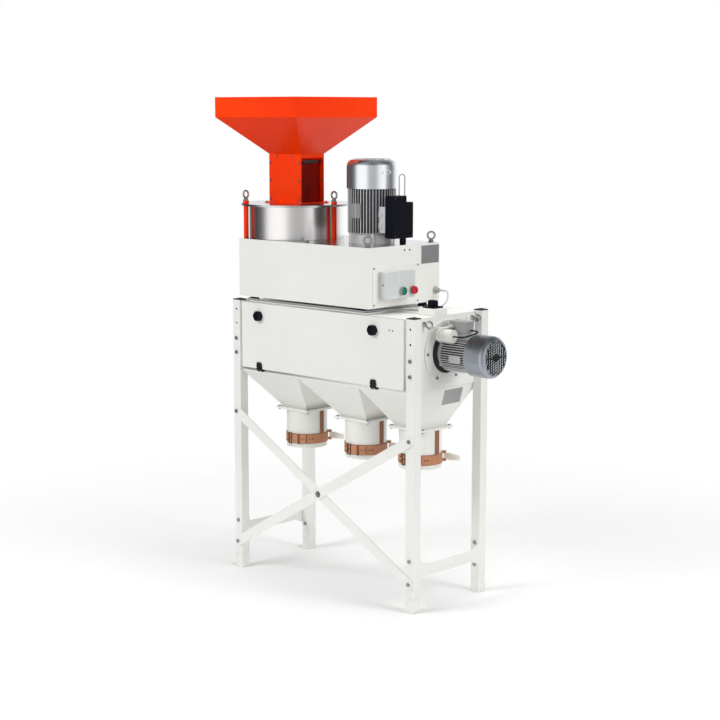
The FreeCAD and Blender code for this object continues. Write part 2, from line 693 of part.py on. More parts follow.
# Funnel tray: three folded pyramids side by side, each with a bolted outlet flange.
drop = dim("funnel_drop")
flange_thick = dim("flange_thick")
outlet_z = base - drop
half_x = dim("flange_length") / 2
half_y = dim("flange_depth") / 2
bore_radius = dim("spout_bore") / 2
neck_half = dim("neck_side") / 2
neck_open = neck_half - wall
outlets = (dim("outlet_first"), dim("outlet_second"), dim("outlet_third"))
spans = ((-inside, dim("divider_first")), (dim("divider_first"), dim("divider_second")),
         (dim("divider_second"), inside))
lip = 4
bolt_x = half_x - 11
bolt_y = half_y - 11
flange_bolt = dim("flange_bolt")
flange_hole = flange_bolt / 2 + dim("screw_gap")
corners = [(sx, sy) for sx in (-1, 1) for sy in (-1, 1)]
funnels = []
for number, (x, (x_low, x_high)) in enumerate(zip(outlets, spans)):
    name = "funnel_%d" % number
    outside = fuse(name + "_outside", [
        box(name + "_band", (x_low, x_high), (-front, front), (base - lip, base)),
        frustum(name + "_pyramid", (x - neck_half, x + neck_half, -neck_half, neck_half),
                outlet_z + flange_thick, (x_low, x_high, -front, front), base - lip),
        box(name + "_flange", (x - half_x, x + half_x), (-half_y, half_y),
            (outlet_z, outlet_z + flange_thick)),
    ])
    tools = [
        frustum(name + "_hollow", (x - neck_open, x + neck_open, -neck_open, neck_open),
                outlet_z + flange_thick,
                (x_low + wall, x_high - wall, -front + wall, front - wall), base - lip),
        box(name + "_mouth", (x_low + wall, x_high - wall), (-front + wall, front - wall),
            (base - lip, base + 1)),
        cylinder(name + "_outlet", neck_open, (x, 0, outlet_z - 1), flange_thick + 2),
    ]
    for corner, (sx, sy) in enumerate(corners):
        tools.append(cylinder("%s_bolt_hole_%d" % (name, corner), flange_hole,
                              (x + bolt_x * sx, bolt_y * sy, outlet_z - 1), flange_thick + 2))
    funnels.append(cut(name, outside, tools))
nodes.append(group("funnel_tray", funnels))

# Spouts: a rolled tube under a square flange, one below each funnel.
spout_radius = bore_radius + wall
spout_top = outlet_z
spout_low = spout_top - flange_thick - dim("spout_length")
spouts = []
flange_bolts = []
for number, x in enumerate(outlets):
    name = "spout_%d" % number
    body = fuse(name + "_blank", [
        cylinder(name + "_tube", spout_radius, (x, 0, spout_low),
                 dim("spout_length") + flange_thick),
        box(name + "_flange", (x - half_x, x + half_x), (-half_y, half_y),
            (spout_top - flange_thick, spout_top)),
    ])
    tools = [cylinder(name + "_bore", bore_radius, (x, 0, spout_low - 1),
                      dim("spout_length") + flange_thick + 2)]
    for corner, (sx, sy) in enumerate(corners):
        bolt_place = (x + bolt_x * sx, bolt_y * sy)
        tools.append(cylinder("%s_hole_%d" % (name, corner), flange_hole,
                              (*bolt_place, spout_top - flange_thick - 1), flange_thick + 2))
        flange_bolts.append(screw("%s_bolt_%d" % (name, corner), flange_bolt,
                                  (*bolt_place, outlet_z + flange_thick), flange_thick * 2,
                                  "z", -1))
    spouts.append(cut(name, body, tools))
nodes.append(group("spouts", spouts))

# Leather straps clamp a bag's neck on each spout; a lever turns on a pin in the strap's fold.
strap_low = dim("strap_height")
strap_width = dim("strap_width")
strap_in = spout_radius + dim("seat_gap")
strap_out = strap_in + dim("strap_thick")
fold_angle = 50
fold_turn = FreeCAD.Rotation(FreeCAD.Vector(0, 0, 1), fold_angle)
pin_reach = strap_out + 11
pin_radius = 2.5
knuckle = strap_width * 0.24
straps = []
levers = []
for number, x in enumerate(outlets):
    name = "strap_%d" % number
    band = pipe(name + "_band", strap_out, strap_in, (x, 0, strap_low), strap_width)
    hanger = box(name + "_hanger", (x + strap_in + 0.6, x + strap_out + 0.6),
                 (-dim("hanger_width") / 2, dim("hanger_width") / 2),
                 (strap_low + strap_width - 6, spout_top - flange_thick))
    fold_parts = []
    for ear, z_low in enumerate((strap_low, strap_low + strap_width - knuckle)):
        ear_name = "%s_ear_%d" % (name, ear)
        fold_parts.append(box(ear_name, (strap_out - 1, pin_reach), (-5, 5), (z_low, z_low + knuckle)))
        fold_parts.append(cylinder(ear_name + "_round", 5, (pin_reach, 0, z_low), knuckle))
    fold = cut(name + "_fold", fuse(name + "_ears", fold_parts),
               [cylinder(name + "_pin_hole", pin_radius + dim("run_gap"),
                         (pin_reach, 0, strap_low - 1), strap_width + 2)])
    place(fold, x, 0, 0, fold_turn)
    straps.append(fuse(name, [band, hanger, fold]))

    name = "lever_%d" % number
    reach = dim("lever_length")
    thick = dim("lever_thick")
    inner = strap_width / 2 - knuckle - dim("seat_gap")
    blade = prism(name + "_blade", "XZ", [
        (0, -inner), (8, -inner), (15, inner * -1.4), (reach - 3, -inner), (reach, inner * -0.6),
        (reach, inner * 0.6), (reach - 3, inner), (15, inner * 1.4), (8, inner), (0, inner)], thick)
    middle = strap_low + strap_width / 2
    turn = math.radians(fold_angle)
    pin_x = x + pin_reach * math.cos(turn)
    pin_y = pin_reach * math.sin(turn)
    place(blade, pin_x, pin_y, middle)
    pin = cylinder(name + "_pin", pin_radius, (pin_x, pin_y, strap_low - 2), strap_width + 4)
    hub = cylinder(name + "_hub", 5, (pin_x, pin_y, middle - inner), inner * 2)
    levers.append(fuse("strap_lever_" + ("left", "middle", "right")[number], [blade, pin, hub]))
nodes.append(group("bag_straps", straps))
nodes.extend(levers)

# Front cover: a shallow pan on two lower hinges, held by two lobed knobs.
cover_face = -front - dim("cover_depth")
cover_top = top - 1
hinge_y = -front - dim("cover_depth") * 0.8
hinge_z = cover_low - 2
hinge_half = 16
pan = hollow("cover_pan", [(-cover_half, cover_half), (cover_face, -front), (cover_low, cover_top)],
             [wall, wall, wall, -1, wall, wall])
bead = box("cover_bead", (-cover_half, cover_half), (cover_face - 2, cover_face + 0.5),
           (cover_low, cover_low + 3))
cover_cuts = []
for number, x in enumerate(knob_xs):
    cover_cuts.append(cylinder("cover_stud_hole_%d" % number, dim("seat_gap") + stud,
                               (x, cover_face - 1, knob_z), dim("cover_depth") + 2, "y"))
    cover_cuts.append(box("cover_hinge_notch_%d" % number, (x - hinge_half - 1, x + hinge_half + 1),
                          (cover_face - 3, -front + 1), (cover_low - 1, cover_low + 7)))
pan_open = cut("cover_pan_open", fuse("cover_sheet", [pan, bead]), cover_cuts)
rim_y = (cover_face + wall, -front)
rim_x = (-cover_half + wall, cover_half - wall)
nodes.append(group("sifter_cover", sheets_of("cover_sheet", pan_open, [
    ("face", ((-cover_half, cover_half), (cover_face - 3, cover_face + wall), (cover_low, cover_top))),
    ("left", ((-cover_half, -cover_half + wall), rim_y, (cover_low, cover_top))),
    ("right", ((cover_half - wall, cover_half), rim_y, (cover_low, cover_top))),
    ("top", (rim_x, rim_y, (cover_top - wall, cover_top))),
    ("low", (rim_x, rim_y, (cover_low, cover_low + wall))),
])))

pin_half = dim("hinge_pin") / 2
barrel = pin_half + 3
third = hinge_half * 0.36
fixed_hinges = []
moving_hinges = []
for number, x in enumerate(knob_xs):
    name = "hinge_fixed_%d" % number
    parts = []
    for cheek, limits in enumerate(((x - hinge_half, x - third - 0.3), (x + third + 0.3, x + hinge_half))):
        cheek_name = "%s_cheek_%d" % (name, cheek)
        parts.append(box(cheek_name, limits, (hinge_y, -front), (base + 1, hinge_z + barrel - 1)))
        parts.append(cylinder(cheek_name + "_barrel", barrel, (limits[0], hinge_y, hinge_z),
                              limits[1] - limits[0], "x"))
    parts.append(cylinder(name + "_pin", pin_half, (x - hinge_half, hinge_y, hinge_z),
                          hinge_half * 2, "x"))
    fixed_hinges.append(fuse(name, parts))
    name = "hinge_moving_%d" % number
    leaf = prism(name + "_leaf", "XZ", [
        (-hinge_half, cover_low + 7.5), (hinge_half, cover_low + 7.5),
        (hinge_half * 0.75, cover_low + 26), (hinge_half * -0.75, cover_low + 26)], 4, midplane=False)
    place(leaf, x, cover_face, 0)
    tongue = box(name + "_tongue", (x - third, x + third), (cover_face - 4, cover_face),
                 (hinge_z, cover_low + 8))
    sleeve = cylinder(name + "_sleeve", barrel, (x - third, hinge_y, hinge_z), third * 2, "x")
    moving_hinges.append(cut(name, fuse(name + "_blank", [leaf, tongue, sleeve]),
                             [cylinder(name + "_bore", pin_half + dim("run_gap"),
                                       (x - third - 1, hinge_y, hinge_z), third * 2 + 2, "x")]))
nodes.append(group("hinge_brackets", fixed_hinges))
nodes.append(group("hinge_leaves", moving_hinges))

knob_radius = dim("knob_radius")
for side, x in zip(("left", "right"), knob_xs):
    name = "cover_knob_" + side
    body = new_body(name + "_head")
    pad(body, circle(body, "XZ", knob_radius * 0.78, name + "_core"), 15)
    lobe = pad(body, circle(body, "XZ", knob_radius * 0.32, name + "_lobe", x=knob_radius * 0.68), 15)
    polar(body, lobe, 6, "Y_Axis")
    place(body, x, cover_face, knob_z)
    shank = cylinder(name + "_stud", stud, (x, cover_face - 1, knob_z), dim("cover_depth") + wall + 6,
                     "y")
    nodes.append(fuse(name, [body, shank]))


def make_motor(prefix, sizes, pads, bosses, seat, turn):
    """A flanged, finned motor on z = 0: its shaft points down and its fan cowl is on top."""
    cowl_radius, length, cowl_length, fin_radius, shield_height, shaft, shaft_out = sizes
    core = fin_radius - dim("fin_depth")
    shield = core - 4
    fin_top = length - cowl_length + 6
    lip = length - cowl_length
    bore = shaft + dim("run_gap")
    frame = revolved(prefix + "_frame_core", [
        (bore, 0), (shield, 0), (shield, shield_height), (core, shield_height + 6),
        (core, fin_top), (bore, fin_top)])
    fins = new_body(prefix + "_frame_fins")
    fin = pad(fins, outline(fins, "XY", [(core - 2, -1.6), (fin_radius, -1.1), (fin_radius, 1.1),
                                         (core - 2, 1.6)], prefix + "_fin"),
              fin_top - shield_height - 6)
    polar(fins, fin, 24, "Z_Axis")
    place(fins, 0, 0, shield_height + 6)
    parts = [frame, fins] + bosses
    for number in range(4):
        angle = math.radians(45 + 90 * number)
        parts.append(cylinder("%s_lug_%d" % (prefix, number), 9,
                              ((shield - 2) * math.cos(angle), (shield - 2) * math.sin(angle), 0),
                              shield_height + 8))
    for number, (angle, reach, half, z_low, z_high) in enumerate(pads):
        seat_pad = box("%s_pad_%d" % (prefix, number), (core - 8, reach), (-half, half),
                       (z_low, z_high))
        parts.append(turned("%s_pad_%d_turned" % (prefix, number), [seat_pad], angle))

    shell = 2
    edge = cowl_radius * 0.28
    bend = [math.radians(22.5 * step) for step in range(5)]
    cowl = revolved(prefix + "_cowl_shell", [(fin_radius + 0.1, lip), (cowl_radius, lip)] + [
        (cowl_radius - edge + edge * math.cos(angle), length - edge + edge * math.sin(angle))
        for angle in bend] + [(0, length), (0, length - shell)] + [
        (cowl_radius - edge + (edge - shell) * math.cos(angle),
         length - edge + (edge - shell) * math.sin(angle)) for angle in reversed(bend)] + [
        (cowl_radius - shell, fin_top + 3), (fin_radius - 4, fin_top + 3), (fin_radius - 4, fin_top),
        (fin_radius + 0.1, fin_top)])
    rows = 9
    pitch = cowl_radius * 1.4 / rows
    slots = []
    for row in range(rows):
        step = row - (rows - 1) / 2
        reach = cowl_radius * math.sqrt(0.5 - (1.3 * step / rows) ** 2)
        slots.append(box("%s_slot_%d" % (prefix, row), (-reach, reach),
                         (pitch * (step - 0.28), pitch * (step + 0.28)),
                         (length - shell - 1, length + 1)))
    cowl_node = fuse(prefix + "_cowl_whole", [
        cut(prefix + "_cowl_open", cowl, slots),
        cylinder(prefix + "_cowl_hub", cowl_radius * 0.2, (0, 0, length - shell), shell),
        box(prefix + "_cowl_rib", (-2.5, 2.5), (cowl_radius * -0.7, cowl_radius * 0.7),
            (length - shell, length)),
    ])

    fan = new_body(prefix + "_fan")
    pad(fan, circle(fan, "XY", cowl_radius * 0.36, prefix + "_fan_hub"), 26)
    blade = pad(fan, outline(fan, "XY", [(cowl_radius * 0.3, -1.5), (cowl_radius * 0.78, -1.5),
                                         (cowl_radius * 0.78, 1.5), (cowl_radius * 0.3, 1.5)],
                             prefix + "_fan_blade"), 24)
    polar(fan, blade, 7, "Z_Axis")
    place(fan, 0, 0, fin_top + 5)
    shaft_rod = cylinder(prefix + "_shaft_rod", shaft, (0, 0, -shaft_out), fin_top + 20 + shaft_out)
    frame_node = fuse(prefix + "_frame_whole", parts)
    for label, obj in (("frame", frame_node), ("cowl", cowl_node),
                       ("shaft", fuse(prefix + "_shaft_whole", [shaft_rod, fan]))):
        nodes.append(place(group("%s_%s" % (prefix, label), [obj]), *seat, turn))


def turned(name, parts, angle, at=(0, 0, 0)):
    """Parts turned together about a vertical axis."""
    turn = FreeCAD.Rotation(FreeCAD.Vector(0, 0, 1), angle)
    return place(group(name, parts), *at, turn)


# Sifter motor: it hangs by a black adapter in a bolted ring on the right end plate.
ring_thick = dim("ring_thick")
adapter_face = end_face + dim("adapter_stand")
ring_holes = []
for angle, (y, z) in ring_places:
    ring_holes.append(cylinder("ring_hole_%d" % angle, flange_hole, (end_face - 1, y, z),
                               ring_thick + 2, "x"))
    flange_bolts.append(screw("ring_bolt_%d" % angle, flange_bolt, (end_face + ring_thick, y, z),
                              ring_thick + wall, "x", -1))
ring = pipe("ring_blank", dim("ring_radius"), dim("ring_bore"), (end_face, 0, sieve_z), ring_thick, "x")
nodes.append(cut("motor_ring", ring, ring_holes))

main_shaft = dim("main_shaft") / 2
adapter = fuse("adapter_blank", [
    cylinder("adapter_disc", dim("ring_bore") - dim("seat_gap"), (end_face - wall, 0, sieve_z),
             dim("adapter_stand") + wall, "x"),
    cylinder("adapter_lip", dim("ring_bore") + 12, (end_face - wall - 5, 0, sieve_z), 5, "x"),
])
nodes.append(cut("motor_adapter", adapter, [
    cylinder("adapter_bore", main_shaft + 6, (end_face - wall - 6, 0, sieve_z),
             dim("adapter_stand") + wall + 8, "x"),
]))
sifter_shaft = dim("sifter_shaft") / 2
sifter_box_seat = dim("sifter_box_seat")
box_start = dim("sifter_box_start")
box_length = dim("sifter_box_length")
box_half = dim("sifter_box_width") / 2
capacitor_radius = dim("capacitor_radius")
capacitor_angle = 223.3
capacitor_seat = dim("sifter_fin_radius") + 2
capacitor_reach = capacitor_seat + capacitor_radius
make_motor("sifter_motor", (dim("sifter_motor_radius"), dim("sifter_motor_length"),
                            dim("sifter_cowl_length"), dim("sifter_fin_radius"), size(10),
                            sifter_shaft, size(20)),
           [(180, sifter_box_seat, box_half - 4, box_start + 6, box_start + box_length - 6),
            (capacitor_angle, capacitor_seat, size(10), box_start + 6, box_start + 36)],
           [], (adapter_face, 0, sieve_z), TURNS["x"])

box_x = (adapter_face + box_start, adapter_face + box_start + box_length)
box_z = (sieve_z + sifter_box_seat, sieve_z + sifter_box_seat + dim("sifter_box_height"))
lid_line = box_z[1] - 9
terminal = fuse("sifter_terminal_whole", [
    box("sifter_terminal_case", box_x, (-box_half, box_half), (box_z[0], lid_line)),
    box("sifter_terminal_lid", (box_x[0] - 1.5, box_x[1] + 1.5), (-box_half - 1.5, box_half + 1.5),
        (lid_line, box_z[1])),
])
nodes.append(group("sifter_terminal_box", [terminal]))
capacitor_length = dim("capacitor_length")
capacitor = fuse("capacitor_whole", [
    cylinder("capacitor_can", capacitor_radius, (capacitor_reach + 1, 0, box_start - 10),
             capacitor_length),
    box("capacitor_foot", (capacitor_seat, capacitor_seat + 8), (-9, 9), (box_start + 6, box_start + 36)),
])
capacitor = turned("capacitor_turned", [capacitor], capacitor_angle)
nodes.append(place(group("sifter_capacitor", [capacitor]), adapter_face, 0, sieve_z, TURNS["x"]))

# Sieve: a slotted screen cage between the dividers with a beater reel on the motor's shaft.
bearing_base = 46
bearing_length = 22


def make_bearing(name, at, rotation):
    """A square flange bearing whose hub points along its own +Z."""
    parts = [
        box(name + "_plate", (-bearing_base, bearing_base), (-bearing_base, bearing_base), (0, 8)),
        cone(name + "_hub", 30, 25, (0, 0, 7), bearing_length - 7),
    ]
    for corner, (sx, sy) in enumerate(corners):
        parts.append(hexagon("%s_bolt_%d" % (name, corner), 13, (34 * sx, 34 * sy, 8), 6))
    bored = cut(name + "_bored", fuse(name + "_blank", parts), [
        cylinder(name + "_bore", main_shaft + dim("run_gap"), (0, 0, -1), bearing_length + 2)])
    return place(group(name, [bored]), *at, rotation)


bearings = [make_bearing("bearing_sieve", (-end_face, 0, sieve_z),
                         FreeCAD.Rotation(FreeCAD.Vector(0, 1, 0), -90))]
screen_outer = dim("sieve_radius")
screen_inner = screen_outer - 2
screen_start = -end_face + wall
screen_end = dim("divider_second") + 10
screen_band = 12
slot_half = 13
screen_cuts = [cylinder("screen_bore", screen_inner, (screen_start - 1, 0, sieve_z),
                        screen_end - screen_start + 2, "x")]
zones = ((stone_x + duct_x + screen_band, dim("divider_first") - screen_band),
         (dim("divider_first") + screen_band, dim("divider_second") - screen_band))
for zone, limits in enumerate(zones):
    for number in range(6):
        name = "screen_slot_%d_%d" % (zone, number)
        slot = box(name, limits, (-slot_half, slot_half), (-screen_outer - 2, screen_outer + 2))
        turn = FreeCAD.Rotation(FreeCAD.Vector(1, 0, 0), 30 * number)
        screen_cuts.append(place(group(name + "_turned", [slot]), 0, 0, sieve_z, turn))
inlet_top = top - wall
hood_y = screen_outer / 2
hood_z = (sieve_z + screen_outer * 0.17, sieve_z + screen_outer * 0.68)
hood = prism("screen_hood", "YZ", [
    (duct_y[0], inlet_top), (duct_y[1], inlet_top), (duct_y[1], inlet_top - wall * 12),
    (hood_y, hood_z[0]), (hood_y, hood_z[1]), (duct_y[0], inlet_top - wall * 6)], dim("duct_length"))
hood_inner = prism("screen_hood_inner", "YZ", [
    (duct_y[0] + wall, inlet_top + 1), (duct_y[1] - wall, inlet_top + 1),
    (duct_y[1] - wall, inlet_top - wall * 11.5), (hood_y - wall, hood_z[0] + wall),
    (hood_y - wall, hood_z[1] - wall * 2), (duct_y[0] + wall, inlet_top - wall * 6.5)],
    dim("duct_length") - wall * 2)
for obj in (hood, hood_inner):
    place(obj, stone_x, 0, 0)
screen_cuts.append(hood_inner)
screen_blank = fuse("screen_blank", [
    cylinder("screen_tube", screen_outer, (screen_start, 0, sieve_z), screen_end - screen_start, "x"),
    hood,
])
nodes.append(cut("sieve_screen", screen_blank, screen_cuts))

reel_start = -end_face - 26
reel_end = adapter_face - 3
reel_radius = dim("reel_radius")
reel_low = screen_start + 14
reel_parts = [cylinder("reel_shaft", main_shaft, (reel_start, 0, sieve_z), reel_end - reel_start, "x")]
for number in range(4):
    name = "reel_bar_%d" % number
    turn = FreeCAD.Rotation(FreeCAD.Vector(1, 0, 0), 90 * number)
    beater = box(name, (reel_low, screen_end - 8), (-2.5, 2.5), (reel_radius - 24, reel_radius))
    arms = [box("%s_arm_%d" % (name, arm), (x - 4, x + 4), (-7, 7), (main_shaft - 3, reel_radius - 12))
            for arm, x in enumerate((reel_low + 12, dim("divider_first"), screen_end - 20))]
    reel_parts.append(place(fuse(name + "_turned", [beater] + arms), 0, 0, sieve_z, turn))
nodes.append(cut("sieve_reel", fuse("reel_blank", reel_parts), [
    cylinder("reel_socket", sifter_shaft + dim("run_gap"), (adapter_face - 22, 0, sieve_z), 24, "x"),
]))

# Selector switch on the sifter's right end.
selector_x = end_face - dim("selector_length") / 2
selector_y = -26
selector_half = dim("selector_length") / 2
selector_top = top + dim("selector_rise") - 9
plate_half = dim("selector_plate") / 2
knob_bore = 4
selector = fuse("selector_blank", [
    box("selector_case", (selector_x - selector_half, selector_x + selector_half),
        (selector_y - 35, selector_y + 35), (top, selector_top)),
    box("selector_face", (selector_x - plate_half, selector_x + plate_half),
        (selector_y - plate_half, selector_y + plate_half), (selector_top, selector_top + 6)),
])
nodes.append(cut("selector_box", selector, [
    cylinder("selector_bore", dim("run_gap") + knob_bore, (selector_x, selector_y, selector_top - 12),
             20)]))
knob_body = new_body("selector_knob_body")
pad(knob_body, circle(knob_body, "XY", 17, "selector_knob_core"), 22)
rib = pad(knob_body, outline(knob_body, "XY", [(15, -1.6), (19.5, -1.2), (19.5, 1.2), (15, 1.6)],
                             "selector_knob_rib"), 19)
polar(knob_body, rib, 16, "Z_Axis")
knob_seat = selector_top + 6 + dim("seat_gap")
place(knob_body, selector_x, selector_y, knob_seat)
nodes.append(fuse("selector_knob", [
    knob_body,
    cylinder("selector_spindle", knob_bore, (selector_x, selector_y, selector_top - 10), 18),
    box("selector_pointer", (selector_x - 2, selector_x + 2), (selector_y - 18, selector_y + 4),
        (knob_seat + 21, knob_seat + 24)),
]))

# Rubber mounts carry the mill housing on the sifter.
mill_low = top + dim("mount_height")
mill_top = mill_low + dim("mill_height")
mill_x = (dim("mill_left"), dim("mill_left") + dim("mill_length"))
mill_y = dim("mill_half_depth")
mount_radius = dim("mount_radius")
mounts = []
for number, (sx, sy) in enumerate(corners):
    x = dim("mount_edge") - inside if sx < 0 else mill_x[1] - dim("mount_inset")
    y = (mill_y - mount_radius - 10) * sy
    mount = revolved("rubber_mount_%d" % number, [
        (0, 0), (mount_radius, 0), (mount_radius, 4), (mount_radius - 3, 7),
        (mount_radius - 3, dim("mount_height") - 7), (mount_radius, dim("mount_height") - 4),
        (mount_radius, dim("mount_height")), (0, dim("mount_height"))])
    mounts.append(place(mount, x, y, top))
nodes.append(group("rubber_mounts", mounts))

# Mill housing: a closed sheet box with the meal duct welded in.
motor_x = dim("mill_motor_x")
mill_shaft = dim("mill_shaft") / 2
housing = hollow("mill_shell", [mill_x, (-mill_y, mill_y), (mill_low, mill_top)], [wall] * 6)
duct = box("duct_outer", (stone_x - duct_x, stone_x + duct_x), duct_y, (mill_low, mill_top))
duct_inner = [(stone_x - duct_x + wall, stone_x + duct_x - wall), (duct_y[0] + wall, duct_y[1] - wall)]
panel_y = (-148, -148 + dim("panel_width"))
panel_z = (mill_low + 36, mill_low + 36 + dim("panel_height"))
eye_x = mill_x[1] - 24
eye_y = mill_y - 22
housing_cuts = [
    box("duct_bore", *duct_inner, (mill_low - 1, mill_top + 1)),
    cylinder("housing_spindle_hole", main_shaft + 4, (stone_x, 0, mill_top - wall - 1), wall + 2),
    cylinder("housing_motor_hole", mill_shaft + 12, (motor_x, 0, mill_top - wall - 1), wall + 2),
]
for number, y_sign in enumerate((-1, 1)):
    housing_cuts.append(cylinder("housing_eye_hole_%d" % number, eye_hole,
                                 (eye_x, eye_y * y_sign, mill_top - wall - 1), wall + 2))
nodes.append(cut("mill_housing", fuse("mill_housing_blank", [housing, duct]), housing_cuts))

# Stone case with its lid, clamped by three posts.
case_radius = dim("case_radius")
case_top = mill_top + dim("case_height")
lid_top = case_top + dim("lid_thick")
drum = revolved("case_drum", [
    (main_shaft + 4, 0), (case_radius, 0), (case_radius, dim("case_height")),
    (case_radius - dim("case_wall"), dim("case_height")), (case_radius - dim("case_wall"), dim("case_wall")),
    (main_shaft + 4, dim("case_wall"))])
place(drum, stone_x, 0, mill_top)
nodes.append(cut("stone_case", drum, [
    box("case_outlet", *duct_inner, (mill_top - 1, mill_top + dim("case_wall") + 1))]))

stone_eye = dim("stone_eye")
stud_hole = eye_hole
post_places = []
for number in range(3):
    angle = math.radians(120 * number)
    post_places.append((stone_x + dim("post_circle") * math.cos(angle),
                        dim("post_circle") * math.sin(angle)))
lid_cuts = [cylinder("lid_eye", stone_eye, (stone_x, 0, case_top - 1), dim("lid_thick") + 2)]
posts = []
nut_height = 11
for number, (x, y) in enumerate(post_places):
    lid_cuts.append(cylinder("lid_stud_hole_%d" % number, stud_hole, (x, y, case_top - 1),
                             dim("lid_thick") + 2))
    name = "case_post_%d" % number
    posts.append(cut(name, cylinder(name + "_rod", dim("post_radius"), (x, y, mill_top),
                                    dim("case_height")),
                     [cylinder(name + "_bore", eye_hole, (x, y, case_top - 12), 13)]))
    posts.append(pipe(name + "_nut", 12, eye_hole, (x, y, lid_top), nut_height))
lid_disc = cylinder("lid_disc", dim("lid_radius"), (stone_x, 0, case_top), dim("lid_thick"))

# Lifting eyes: a collar, a stud and a ring, all alike.
eye_wire = dim("eye_wire")
eye_ring = dim("eye_ring")
stud_length = 26
lifting_eyes = []


def make_eye(number, at, rotation=None):
    name = "lifting_eye_%d" % number
    ring_centre = eye_ring + eye_wire + 8
    section = [math.radians(22.5 + 45 * corner) for corner in range(8)]
    ring = revolved(name + "_ring", [(eye_ring + eye_wire * math.cos(angle), eye_wire * math.sin(angle))
                                     for angle in section])
    place(ring, 0, 0, ring_centre, FreeCAD.Rotation(FreeCAD.Vector(1, 0, 0), 90))
    whole = fuse(name + "_whole", [
        ring, cone(name + "_collar", 12, 8, (0, 0, 0), 10),
        cylinder(name + "_stud", eye_stud, (0, 0, -stud_length), stud_length + 2)])
    lifting_eyes.append(place(group(name, [whole]), *at, rotation))


for number, (x, y) in enumerate(post_places):
    make_eye(number, (x, y, lid_top + nut_height))
# The housing's eyes are screwed home with their rings turned to the corner.
corner_turn = FreeCAD.Rotation(FreeCAD.Vector(0, 0, 1), 43)
for number, y_sign in enumerate((-1, 1)):
    make_eye(3 + number, (eye_x, eye_y * y_sign, mill_top), corner_turn)
make_eye(5, (end_face, eye_ys[0], eye_height), TURNS["x"])
make_eye(6, (end_face + bracket_thick, eye_ys[1], eye_height), TURNS["x"])

# Stones: the upper one hangs below the lid, the lower one turns on the spindle's carrier.
stone_radius = dim("stone_radius")
stone_thick = dim("stone_thick")
runner_top = case_top - stone_thick - dim("stone_gap")
runner_low = runner_top - stone_thick
furrow_depth = 3
furrow_half = 4


def furrows(name, height):
    """Straight grooves across a stone's working face."""
    grooves = []
    for number in range(6):
        groove = box("%s_%d" % (name, number), (-stone_radius - 1, stone_radius + 1),
                     (-furrow_half, furrow_half), (height - furrow_depth, height + furrow_depth))
        grooves.append(turned("%s_%d_turned" % (name, number), [groove], 30 * number,
                              (stone_x, 0, 0)))
    return grooves


fixed_low = case_top - stone_thick
nodes.append(cut("fixed_stone", pipe("fixed_blank", stone_radius, stone_eye,
                                     (stone_x, 0, fixed_low), stone_thick),
                 furrows("fixed_furrow", fixed_low)))
carrier_radius = 60
spindle_nose = main_shaft - 4
nose_nut = 12
recess = 22
runner = pipe("runner_blank", stone_radius, spindle_nose + dim("run_gap"), (stone_x, 0, runner_low),
              stone_thick)
nodes.append(cut("runner_stone", runner, furrows("runner_furrow", runner_top) + [
    cylinder("runner_recess", carrier_radius * 0.6, (stone_x, 0, runner_top - recess), recess + 1)]))
carrier_low = runner_low - 8
spindle_low = mill_low + wall + 3
nodes.append(fuse("mill_spindle", [
    cylinder("spindle_rod", main_shaft, (stone_x, 0, spindle_low), runner_low - spindle_low),
    cylinder("spindle_carrier", carrier_radius, (stone_x, 0, carrier_low), 8),
    cylinder("spindle_nose", spindle_nose, (stone_x, 0, runner_low - 1), stone_thick - recess + nose_nut + 3),
    hexagon("spindle_nut", 36, (stone_x, 0, runner_top - recess), nose_nut),
]))
bearings.append(make_bearing("bearing_top", (stone_x, 0, mill_top - wall),
                             FreeCAD.Rotation(FreeCAD.Vector(1, 0, 0), 180)))
bearings.append(make_bearing("bearing_low", (stone_x, 0, mill_low + wall), TURNS["z"]))
nodes.append(group("flange_bearings", bearings))

# Belt drive: two V belts from the motor's pulley to the large one on the spindle.
pulley_low = mill_low + dim("pulley_height")
belt_pitch = dim("belt_pitch")
belt_width = dim("belt_width")
pulley_width = belt_pitch + belt_width + 10
groove_depth = dim("groove_depth")
large_radius = dim("spindle_pulley")
small_radius = dim("motor_pulley")


def make_pulley(name, radius, bore, x):
    """A two-groove pulley turned from a profile."""
    first = (pulley_width - belt_pitch) / 2
    points = [(bore, 0), (radius, 0)]
    for number in range(2):
        middle = first + belt_pitch * number
        points += [(radius, middle - belt_width / 2 - 1), (radius - groove_depth, middle - belt_width / 3),
                   (radius - groove_depth, middle + belt_width / 3), (radius, middle + belt_width / 2 + 1)]
    points += [(radius, pulley_width), (bore, pulley_width)]
    nodes.append(place(revolved(name, points), x, 0, pulley_low))


make_pulley("spindle_pulley", large_radius, main_shaft + dim("run_gap"), stone_x)
make_pulley("motor_pulley", small_radius, mill_shaft + dim("run_gap"), motor_x)
belts = []
distance = motor_x - stone_x
belt_in = groove_depth - dim("seat_gap")
for number in range(2):
    name = "belt_%d" % number
    height = pulley_low + (pulley_width - belt_pitch) / 2 + belt_pitch * number - belt_width / 3
    outer = []
    for label, grow in (("outer", size(0)), ("inner", belt_in - 1)):
        large = large_radius - grow
        small = small_radius - grow
        lean_sine = (large - small) / distance
        lean_cosine = root(1 - lean_sine * lean_sine)
        side = prism("%s_%s_side" % (name, label), "XY", [
            (large * lean_sine, large * lean_cosine), (distance + small * lean_sine, small * lean_cosine),
            (distance + small * lean_sine, small * lean_cosine * -1),
            (large * lean_sine, large * lean_cosine * -1)], belt_width * 2 / 3, midplane=False)
        place(side, stone_x, 0, height)
        outer.append(fuse("%s_%s" % (name, label), [
            side, cylinder("%s_%s_large" % (name, label), large, (stone_x, 0, height), belt_width * 2 / 3),
            cylinder("%s_%s_small" % (name, label), small, (motor_x, 0, height), belt_width * 2 / 3)]))
    belts.append(cut(name, outer[0], [outer[1]]))
nodes.append(group("drive_belts", belts))

